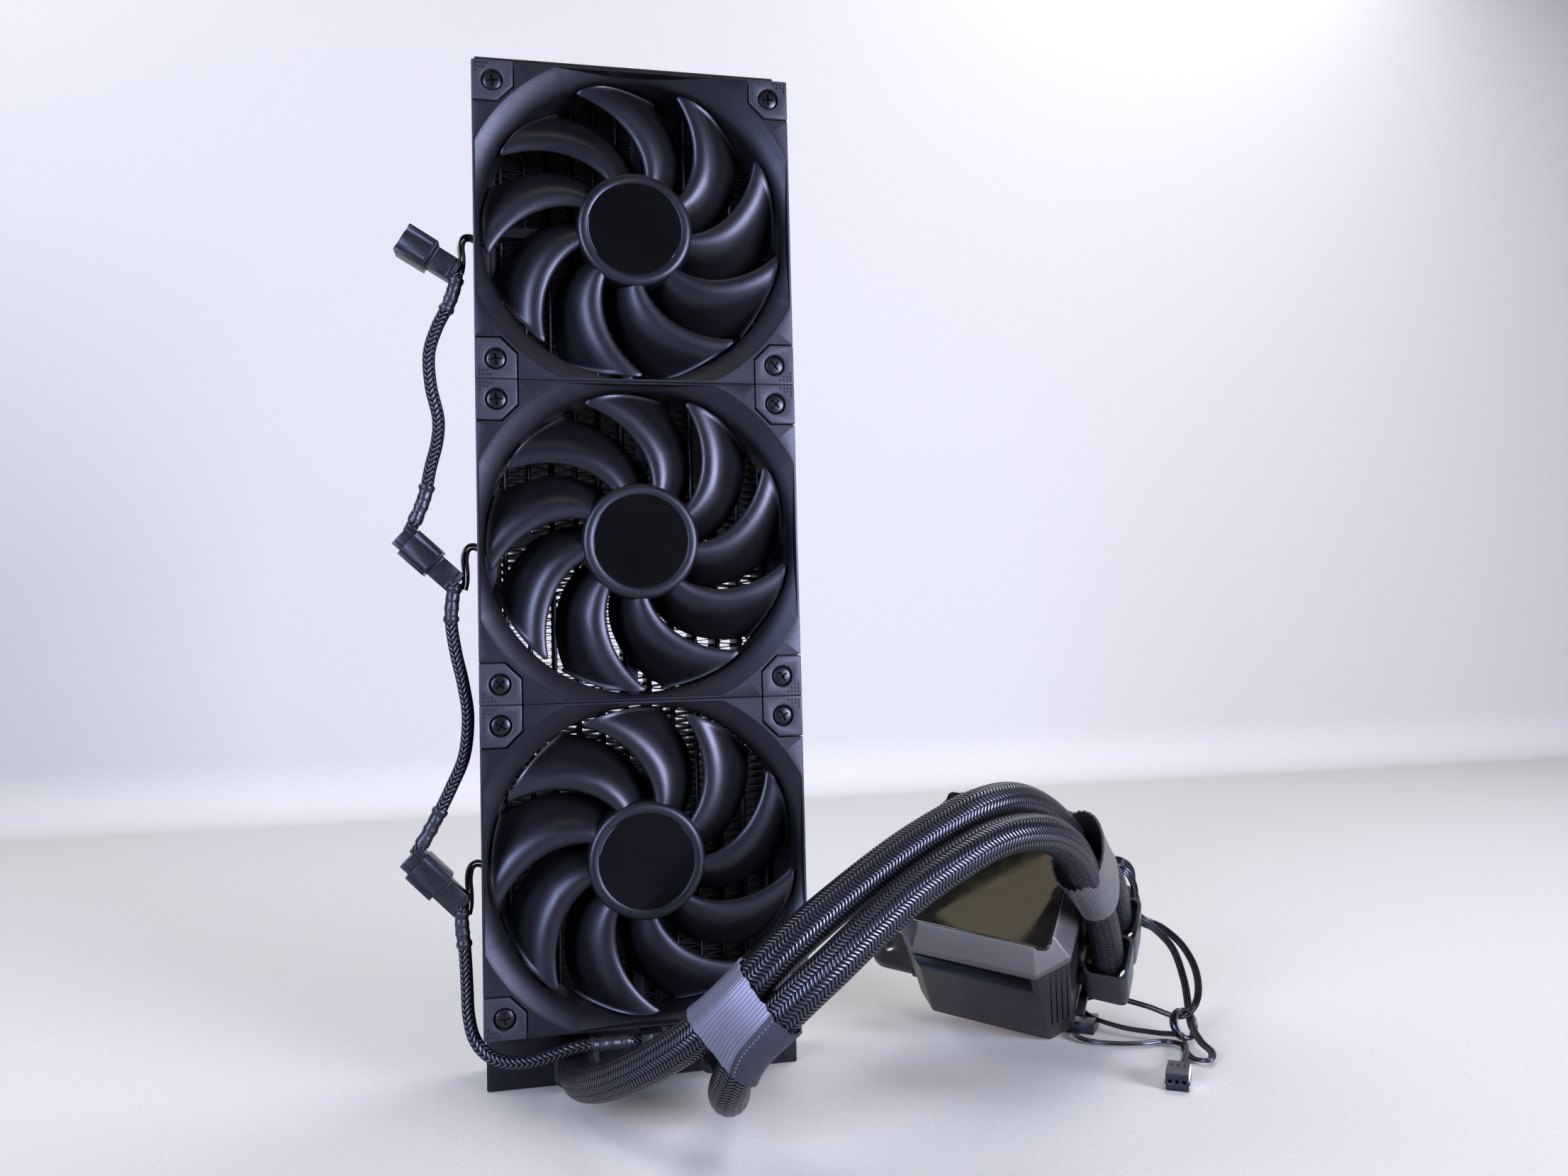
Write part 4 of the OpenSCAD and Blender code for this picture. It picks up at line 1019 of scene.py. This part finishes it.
def four(shape):
    out = Shape()
    for sx in (1, -1):
        for sy in (1, -1):
            out.join(shape.moved(Matrix.Diagonal((sx, sy, 1, 1))))
    return out


def frame_mesh():
    """The fan's square frame: duct, flared front, pad pockets, open corners, motor mount and arms."""
    near_corner = (-1.5, -1.0, -0.5, -0.25, 0.25, 0.5, 1.0, 1.5)
    angles = sorted({round(2 * math.pi * k / 288, 9) for k in range(288)}
                    | {round(math.radians(45 + 90 * q + d), 9) for q in range(4) for d in near_corner})
    duct, lip, z0 = 58.0, 65.8, 17.5
    rings = []
    for a in angles:
        outer = square_radius(a, 60.0, 2.0)
        rin = min(lip, square_radius(a, 59.0, 1.4))
        t = ((rin - duct) / (lip - duct)) ** 0.5
        zin = z0 + (FAN_D - z0) * t
        flush = zin > FAN_D - 0.1
        edge = outer - 0.5 if outer - 0.5 > rin + 0.1 else rin + 0.15
        prof = [(outer, 0.0), (outer, FAN_D - 0.5), (outer - 0.15, FAN_D - 0.15), (edge, FAN_D),
                (rin + 0.12, FAN_D), (rin, min(zin, FAN_D - 0.1))]
        for k in range(1, 13):
            q = t * (1 - k / 12)
            sunk = 0.1 if k < 12 and flush else 0
            prof.append((duct + (lip - duct) * q ** 2, z0 + (FAN_D - z0) * q - sunk))
        prof += [(duct, z0 * 0.5), (duct, 0.0)]
        rings.append([(r * math.cos(a), r * math.sin(a), z) for r, z in prof])
    ob = work(Shape().loft(rings + rings[:1], False, mapped=False), "fan_frame", 30)
    boolean(ob, four(Shape().prism(pad_outline(1.0, edge=60.5), FAN_D - 5, FAN_D + 1)))
    boolean(ob, four(Shape().prism(pad_outline(1.0, edge=60.5), -1, 1.5)))
    arc = [polar(60.6, a) for a in np.linspace(54.6, 35.4, 12)]
    boolean(ob, four(Shape().prism([(62, 35.0), (62, 62), (35.0, 62)] + arc, 5, 16)))
    boolean(ob, four(rod(4.6, 4.0, 17.0, 32, SCREW, SCREW)), "UNION")
    boolean(ob, four(rod(2.2, -1, 30, 32, SCREW, SCREW)))
    boolean(ob, Shape().box(-66.6, -53, -2.6, 0.9, 0.7, 4.1))
    mount = work(rod(20.5, 0, 3, 64), "mount", 30)
    for q in range(4):
        arm = Shape().box(18, 58.3, -4.5, -0.5, 0.0, 3.0)
        boolean(mount, arm.moved(turn(90 * q, "Z")), "UNION")
    boolean(mount, rod(5.4, 2, 14.6, 48), "UNION")
    boolean(mount, rod(4.0, 1.2, 20, 48))
    bevel(mount, 0.3, 2, 30)
    me = merged([ob.data, mount.data], "fan_frame", 28)
    bpy.data.objects.remove(ob)
    bpy.data.objects.remove(mount)
    return me


def ease(value, width):
    """Rises from 0 to 1 over width, round at its foot."""
    return min(1.0, math.sqrt(max(0.0, value) / width))


def blade_shape():
    """One sickle blade: concave leading edge in front, falling away clockwise."""
    nu, ns = 30, 22
    root, tip = 21.3, 57.0

    def point(u, s, side):
        r = root + u * (tip - root)
        lead = 35 * u ** 1.25
        chord = 38 - 5.5 * u
        lead -= 2.6 * max(0.0, (u - 0.94) / 0.06) ** 2.2
        a = math.radians(lead - chord * s)
        width = math.radians(chord) * r
        w1, w2 = min(4.5, 0.2 * width), min(16.0, 0.72 * width)
        slope = 14.4 / (width - (w1 + w2) / 2)
        w = s * width
        drop = slope * (w - w1) ** 2 / (2 * (w2 - w1)) if w < w2 else slope * (w - (w1 + w2) / 2)
        body = (1.7 - 0.6 * u) * (1.0 - 0.35 * s)
        edge = ease(s, 0.05) * ease(1 - s, 0.10)
        end = ease(1 - u, 0.006)
        t = body * (0.14 + 0.86 * edge * end)
        z = HUB_TOP - 1 - drop - 0.5 * (1.7 - 0.6 * u) + side * t * 0.5
        return (r * math.cos(a), r * math.sin(a), z)
    us = [0.93 * i / nu for i in range(nu)] + [0.93, 0.945, 0.958, 0.97, 0.98, 0.988, 0.994, 0.9975, 1.0]
    ss = [0, 0.006, 0.02, 0.045] + [0.08 + 0.84 * j / (ns - 6) for j in range(ns - 5)] + [0.955, 0.985, 1.0]
    w, h = len(ss), len(us)
    v = [point(u, s, side) for side in (1, -1) for u in us for s in ss]
    layer = w * h
    f = []
    for i in range(h - 1):
        for j in range(w - 1):
            a = i * w + j
            f += [(a, a + 1, a + w + 1, a + w), (layer + a, layer + a + w, layer + a + w + 1, layer + a + 1)]
    for i in range(h - 1):
        for j in (0, w - 1):
            a = i * w + j
            f.append((a, a + w, layer + a + w, layer + a))
    for j in range(w - 1):
        for i in (0, h - 1):
            a = i * w + j
            f.append((a, a + 1, layer + a + 1, layer + a))
    return Shape().add(v, f)


def hub_profile():
    radius, curve, inner, top = 22.2, 2.4, 19.4, HUB_TOP
    edge = [polar(curve, 90 - a, radius - curve, top - curve) for a in range(0, 91, 10)]
    return [(AXIS, top - 0.6), (17.9, top - 0.6), (17.95, top - 0.12), (18.1, top)] + edge + \
        [(radius, 4.2), (inner, 4.2), (inner, 17.5), (AXIS, 17.5)]


# The angle of each fan's first blade, in degrees
PHASE = {"top": 78.9, "middle": 77.8, "bottom": 80.7}


def pad_object():
    """A front corner pad with a screw recess and eight small dots cut into its corner."""
    pad = work(Shape().prism(pad_outline(), FAN_D - 5, FAN_D + 0.3), "pad")
    boolean(pad, rod(4.0, FAN_D - 2.4, FAN_D + 2, 48, SCREW, SCREW))
    boolean(pad, rod(2.2, FAN_D - 8, FAN_D + 2, 32, SCREW, SCREW))
    bevel(pad, 0.5, 3, 50)
    dots = Shape()
    first, pitch, size = 58.9, 1.35, 0.95
    for i, j in ((0, 0), (1, 0), (2, 0), (3, 0), (0, 1), (0, 2), (1, 1), (2, 1)):
        x, y = first - pitch * i, first - pitch * j
        dots.box(x - size, x, y - size, y, FAN_D - 0.1, FAN_D + 1)
    boolean(pad, dots)
    return pad


def rear_pad_object():
    rear = work(Shape().prism(pad_outline(), 0, 1.5), "rear")
    boolean(rear, rod(2.2, -1, 4, 32, SCREW, SCREW))
    bevel(rear, 0.25, 2, 50)
    return rear


def screw_object():
    """A domed cross-head screw."""
    dome = [(AXIS, -2.4), (3.55, -2.4), (3.55, -1.3), (3.3, -0.75), (2.6, -0.42), (1.2, -0.3), (AXIS, -0.28)]
    screw = work(Shape().lathe([(r, FAN_D + z) for r, z in dome], 48, False), "screw", 40)
    for q in range(2):
        bar = Shape().box(-2.1, 2.1, -0.32, 0.32, FAN_D - 1.6, FAN_D + 1)
        boolean(screw, bar.moved(turn(90 * q, "Z")))
    boolean(screw, rod(0.75, FAN_D - 1.9, FAN_D + 1, 12))
    boolean(screw, rod(1.6, -3.5, FAN_D - 2.3, 24), "UNION")
    shade(screw.data, 35)
    return screw


def four_corners(source, turned, world, name):
    """Copies of a corner's mesh at a fan's four corners: mirrored, or moved there and turned at random."""
    copies = []
    for sx in (1, -1):
        for sy in (1, -1):
            if turned:
                move = Matrix.Translation((sx * SCREW * MM, sy * SCREW * MM, 0)) @ Matrix.Rotation(
                    rng.uniform(0, math.pi / 2), 4, "Z")
            else:
                move = Matrix.Diagonal((sx, sy, 1, 1))
            one = source.copy()
            one.transform(world @ move)
            if move.determinant() < 0:
                one.flip_normals()
            copies.append(one)
    me = merged(copies, name, 32)
    for one in copies:
        bpy.data.meshes.remove(one)
    return me


def fans():
    base, blade = frame_mesh(), blade_shape()
    pad, rear, screw = pad_object(), rear_pad_object(), screw_object()
    disc = [(r, HUB_TOP + z) for r, z in ((AXIS, -0.55), (17.6, -0.55), (17.78, -0.45), (17.78, -0.02),
                                          (17.55, 0.1), (17.0, 0.1), (AXIS, 0.1))]
    for fan in FAN_Z:
        at = fan_matrix(fan)
        me = base.copy()
        me.transform(metric(at))
        place("fan_frame_" + fan + "_body", me, M_FRAME, ROOT, ["fan_frame_" + fan])
        rotor = Shape()
        for k in range(9):
            rotor.join(blade.moved(turn(PHASE[fan] + 40 * k, "Z")))
        body, node = "rotor_" + fan, ["fan_rotor_" + fan]
        place("fan_blades_" + fan, rotor.moved(at).mesh("blades", 50), M_BLADE, body, node)
        hub = Shape().lathe(hub_profile(), 128, False).moved(at).mesh("hub", 40)
        place("fan_hub_" + fan, hub, M_BLADE, body, node)
        badge = Shape().lathe(disc, 128, False).moved(at).mesh("badge", 25)
        place("hub_badge_" + fan + "_disc", badge, M_BADGE, body, ["hub_badge_" + fan])
        for source, node, material, slot in ((pad, "front_pads", M_PAD, "pad_grey"),
                                             (rear, "rear_pads", M_PAD, "pad_grey"),
                                             (screw, "fan_screws", M_SCREW, "screw_black")):
            me = four_corners(source.data, source is screw, metric(at), node)
            place(node + "_" + fan, me, material, ROOT, [node])
    for ob in (pad, rear, screw):
        bpy.data.objects.remove(ob)


fans()


# ---- Pump block ----
def smooth_outline(points, r, n=5):
    """A polygon with its corners rounded by radius r."""
    out, m = [], len(points)
    for i in range(m):
        p = np.array(points[i], float)
        a = unit(np.array(points[i - 1]) - p)
        b = unit(np.array(points[(i + 1) % m]) - p)
        half = 0.5 * math.acos(max(-1, min(1, float(a @ b))))
        cut = r / math.tan(half)
        p0, p1 = p + a * cut, p + b * cut
        for k in range(n + 1):
            t = k / n
            out.append(tuple((1 - t) ** 2 * p0 + 2 * t * (1 - t) * p + t * t * p1))
    return out


def housing():
    """The pump block's lower body: flared walls, a slot under the bezel and grooves on one corner."""
    rings = []
    for z, k in ((0, 0.0), (1.0, 0.02), (10, 0.15), (20, 0.34), (30, 0.54), (40, 0.75), (48, 0.9), (53, 1.0),
                 (56, 1.0)):
        inset = 0.8 if z == 0 else 0.0
        outline = cut_rect(66 + 3.5 * k - inset, 66 + 10 * k - inset, 8 + 2.5 * k)
        rings.append([(x, y, z) for x, y in smooth_outline(outline, 2.2)])
    ob = work(Shape().loft(rings), "housing", 30)
    # Slot under the bezel, along the front wall
    slope = math.atan2(5.0, 56.0)
    boolean(ob, Shape().box(-31, 22.0, -1.6, 3.0, -5.5, 5.5).moved(
        Matrix.Translation((0, -36.4, 47.8)) @ Matrix.Rotation(slope, 4, "X")))
    for k in range(4):
        groove = Shape().box(-0.28, 0.28, -0.45, 0.45, -40, 11)
        m = (Matrix.Translation((28.2 + 1.75 * k, -33.6 + 1.75 * k, 44)) @ turn(45, "Z")
             @ Matrix.Rotation(slope * 0.9, 4, "X"))
        boolean(ob, groove.moved(m))
    boolean(ob, Shape().box(-28.2, 28.2, -28.2, 28.2, -1, 2.6))
    for y in ELBOW_Y.values():
        boolean(ob, rod(4.6, 0, 12, 40).moved(
            Matrix.Translation((27, y, ELBOW_Z)) @ turn(90, "Y")))
    bevel(ob, 0.35, 2, 40)
    done(ob, "pump_housing_shell", M_HOUSING, ["pump_housing"], PUMP)


housing()


def bezel():
    """The metal bezel: an upright band, a wide bevel and a flat rim round the window."""
    longer = 8.0
    rings = []
    for z, w, c, r in ((56.0, 70.2, (11, 10.6), 2.0), (56.3, 71.0, (11, 11), 2.2), (58.4, 71.0, (11, 11), 2.2),
                       (59.4, 70.2, (10.6, 10.6), 2.2), (66.9, 60.0, (7.2, 7.0), 1.8),
                       (67.6, 59.0, (6.6, 6.4), 1.6), (68.0, 58.2, (6.0, 6.0), 1.4)):
        rings.append([(x, y, z) for x, y in smooth_outline(cut_rect(w, w + longer, c), r)])
    ob = work(Shape().loft(rings), "bezel", 30)
    boolean(ob, Shape().prism(rounded(57.7, 65.7, 2.7, 6), 66.0, 70))
    boolean(ob, Shape().prism(rounded(52, 60, 2.0, 6), 50, 70))
    shade(ob.data, 24)
    done(ob, "display_bezel_ring", M_BEZEL, ["display_bezel"], PUMP)
    glass = Shape().prism(rounded(57.2, 65.2, 2.5, 8), 66.05, 68.1)
    solid("display_window", glass, M_GLASS, ["display_glass"], round_by=0.3, segments=3,
          matrix=PUMP)


bezel()


def shroud(side):
    """A boot round an elbow: a smooth shell whose rim rises at its outer rear corner and dips towards the
    front.
    """
    y0, rows, foot, wall = ELBOW_Y[side], 22, 11.5, 0.86
    outline = smooth_outline([(-9, -8.9), (9, -8.9), (9, 8.9), (-9, 8.9)], 3.6, 6)

    def rim(x, y):
        """The rim's height at a point of the outline."""
        return 30.6 + 4.6 / (1 + math.exp(-(y + 0.9 * x - 1.0) / 2.3)) + 0.04 * (x + y)

    def layer(t, grow):
        return [(ELBOW_X + x * grow, y0 + y * grow, foot + (rim(x, y) - foot) * t) for x, y in outline]
    steps = [i / rows for i in range(rows + 1)]
    outer = [layer(t, 1.0 - 0.05 * (1 - t) ** 2) for t in steps]
    inner = [layer(t, wall) for t in reversed(steps)]
    ob = work(Shape().loft(outer + inner + outer[:1], False, mapped=False), "shroud", 30)
    boolean(ob, Shape().box(ELBOW_X - 14, ELBOW_X - 4, y0 - 5.2, y0 + 5.2, 4, ELBOW_Z + 5.2))
    bevel(ob, 0.35, 3, 50)
    done(ob, "elbow_shroud_" + side + "_shell", M_SHROUD, ["elbow_shroud_" + side], PUMP)


def elbow(side):
    """A tube that turns from the housing wall up to the hose."""
    y0 = ELBOW_Y[side]
    route = ((27.5, 0), (32, 0), (38, 0), (41.6, 0.6), (44.1, 3), (45, 6.5), (45, 9.5), (45, 12))
    pts, tan = along([(x, y0, ELBOW_Z + z) for x, z in route], 0.7)[:2]
    sides = carried(tan, (0, 1, 0))

    def tube(radius):
        return [[tuple(p + x * u + y * np.cross(t, u)) for x, y in circle(radius, 40)]
                for p, t, u in zip(pts, tan, sides)]
    outer, inner = tube(4.6), tube(2.8)
    shape = Shape().loft(outer + inner[::-1] + outer[:1], False)
    shape.join(Shape().prism(rounded(11.5, 11.5, 2.6, 5, ELBOW_X - 2.2, y0), 8.8, 13.0))
    done(work(shape, "elbow", 40), "elbow_" + side + "_tube", M_SATIN, ["elbow_" + side], PUMP)


for side in ELBOW_Y:
    shroud(side)
    elbow(side)


BRACKET_EARS = ((-50.0, -13.0), (42.0, 35.0))


def bracket():
    """The bracket round the block, with an ear on each side."""
    ob = work(Shape().box(-37, 37, -22, 37, 5, 8), "bracket")
    for x, y in BRACKET_EARS:
        a, b = sorted((math.copysign(33.9, x), x))
        boolean(ob, Shape().box(a, b, y - 8, y + 8, 5, 9.5), "UNION")
        boolean(ob, rod(8.0, 5, 9.5, 48, x, y), "UNION")
    boolean(ob, Shape().prism(cut_rect(67.4, 68, 7.5), 4, 12))
    boolean(ob, Shape().box(-25, 25, -40, -20, 4, 12))
    for x, y in BRACKET_EARS:
        boolean(ob, rod(2.1, 0, 12, 32, x, y))
    bevel(ob, 0.6, 3, 40)
    done(ob, "mounting_bracket_plate", M_SATIN, ["mounting_bracket"], PUMP)


bracket()


def gland():
    """The rubber gland where the pump leads leave the block."""
    for part, box in (("plug", (31, 37, 23.6, 32.4, 41.6, 46.4)),
                      ("flange", (35.2, 36.8, 22.5, 33.5, 40.5, 47.5))):
        solid("cable_gland_" + part, Shape().box(*box), M_RUBBER, ["cable_gland"],
              round_by=0.5, matrix=PUMP)


gland()


# ---- CAD nodes that show as they are ----
CARRIED = {
    "header_plates": M_RAD, "tank_divider": M_RAD, "hose_barbs": M_SATIN, "plug_seal": M_RUBBER,
    "fan_stators": M_STEEL, "stator_coils": M_COIL, "fan_boards": M_BOARD, "fan_bearings": M_BRONZE,
    "motor_bell_top": M_STEEL, "motor_bell_middle": M_STEEL, "motor_bell_bottom": M_STEEL,
    "display_panel": M_PANEL, "pump_board": M_BOARD, "pump_stator": M_STEEL, "pump_shaft": M_STEEL,
    "pump_impeller": M_WHITE, "rotor_can": M_HOUSING, "jet_plate": M_WHITE, "cold_plate": M_COPPER,
    "base_gasket": M_RUBBER, "base_screws": M_STEEL, "elbow_seals": M_RUBBER}
for node, material in CARRIED.items():
    data = NODES[node].data
    data.materials.clear()
    data.materials.append(material)


# ---- Stage and light ----
def stage():
    """A pale floor that bends up into a wall far behind; towards the camera it darkens, a painted shade that
    stands for the dark room in front.
    """
    m = Mat("floor_pale", (0.40, 0.39, 0.37), 0.75)
    m.set("Specular Tint", (1, 1, 1, 1))
    speck = m.noise(0.5, 4.0, 0.6)
    floor_tone = m.mix(speck, (0.37, 0.366, 0.36), (0.475, 0.47, 0.46))
    wall_tone = m.mix(speck, (0.35, 0.345, 0.335), (0.42, 0.415, 0.405))
    at = m.node("ShaderNodeSeparateXYZ", {0: m.mm()}).outputs
    tone = m.mix(m.remap(at[2], 0.0, 60.0, 0.0, 1.0, True), floor_tone, wall_tone)
    # Painted shade: the floor turns dark towards the camera, standing for the dark room in front that the black
    # plastics reflect
    m.link(m.mix(m.remap(at[1], -560.0, -260.0, 1.0, 0.0, True), tone, (0.07, 0.07, 0.075)), "Base Color")
    m.link(m.bump(speck, 0.25, 0.3), "Normal")
    front, back, curve, height = -1500, 820, 60, 2200
    bend = [polar(curve, a - 90, back - curve, curve) for a in range(0, 91, 10)]
    profile = [(front, 0)] + bend + [(back, height)]
    shape = Shape()
    v = [(x, y, z) for x in (-2200, 2200) for y, z in profile]
    n = len(profile)
    shape.add(v, [(i, i + 1, n + i + 1, n + i) for i in range(n - 1)])
    ob = place("stage_floor", shape.mesh("stage", 60), m.m, body=None)


stage()


def area(name, at, aim, size, power, color):
    """A soft light. Places and sizes are in metres."""
    data = bpy.data.lights.new(name, "AREA")
    data.shape = "RECTANGLE"
    data.size, data.size_y = size
    data.energy = power
    data.color = color
    ob = bpy.data.objects.new(name, data)
    scene.collection.objects.link(ob)
    ob.location = at
    ob.rotation_mode = "QUATERNION"
    ob.rotation_quaternion = (Vector(aim) - Vector(at)).to_track_quat("-Z", "Y")
    ob.visible_camera = False
    return ob


area("right_window", (0.95, -1.15, 0.34), (0.03, -0.03, 0.22), (0.7, 0.6), 60, (0.82, 0.83, 1.0))
area("left_window", (-1.05, -1.0, 0.55), (0.0, -0.03, 0.18), (0.45, 0.9), 34, (0.70, 0.76, 1.0))
area("back_right", (0.80, 0.40, 1.30), (0.3, 0.25, 0), (0.8, 0.8), 13, (0.98, 0.97, 1.0))
area("back_left", (-0.85, 0.40, 1.30), (-0.3, 0.25, 0), (0.8, 0.8), 13, (0.98, 0.97, 1.0))
panel = area("ceiling_panel", (-0.034, -0.369, 1.5), (-0.034, -0.369, 0), (0.8, 0.45), 2.0, (1.0, 0.86, 0.55))
panel.rotation_mode = "XYZ"
panel.rotation_euler = (0, 0, math.radians(18.9))
world = bpy.data.worlds.new("world")
scene.world = world
world.use_nodes = True
background = world.node_tree.nodes["Background"]
background.inputs["Color"].default_value = (0.80, 0.83, 0.95, 1)
background.inputs["Strength"].default_value = 0.035
scene.view_settings.view_transform = "Standard"
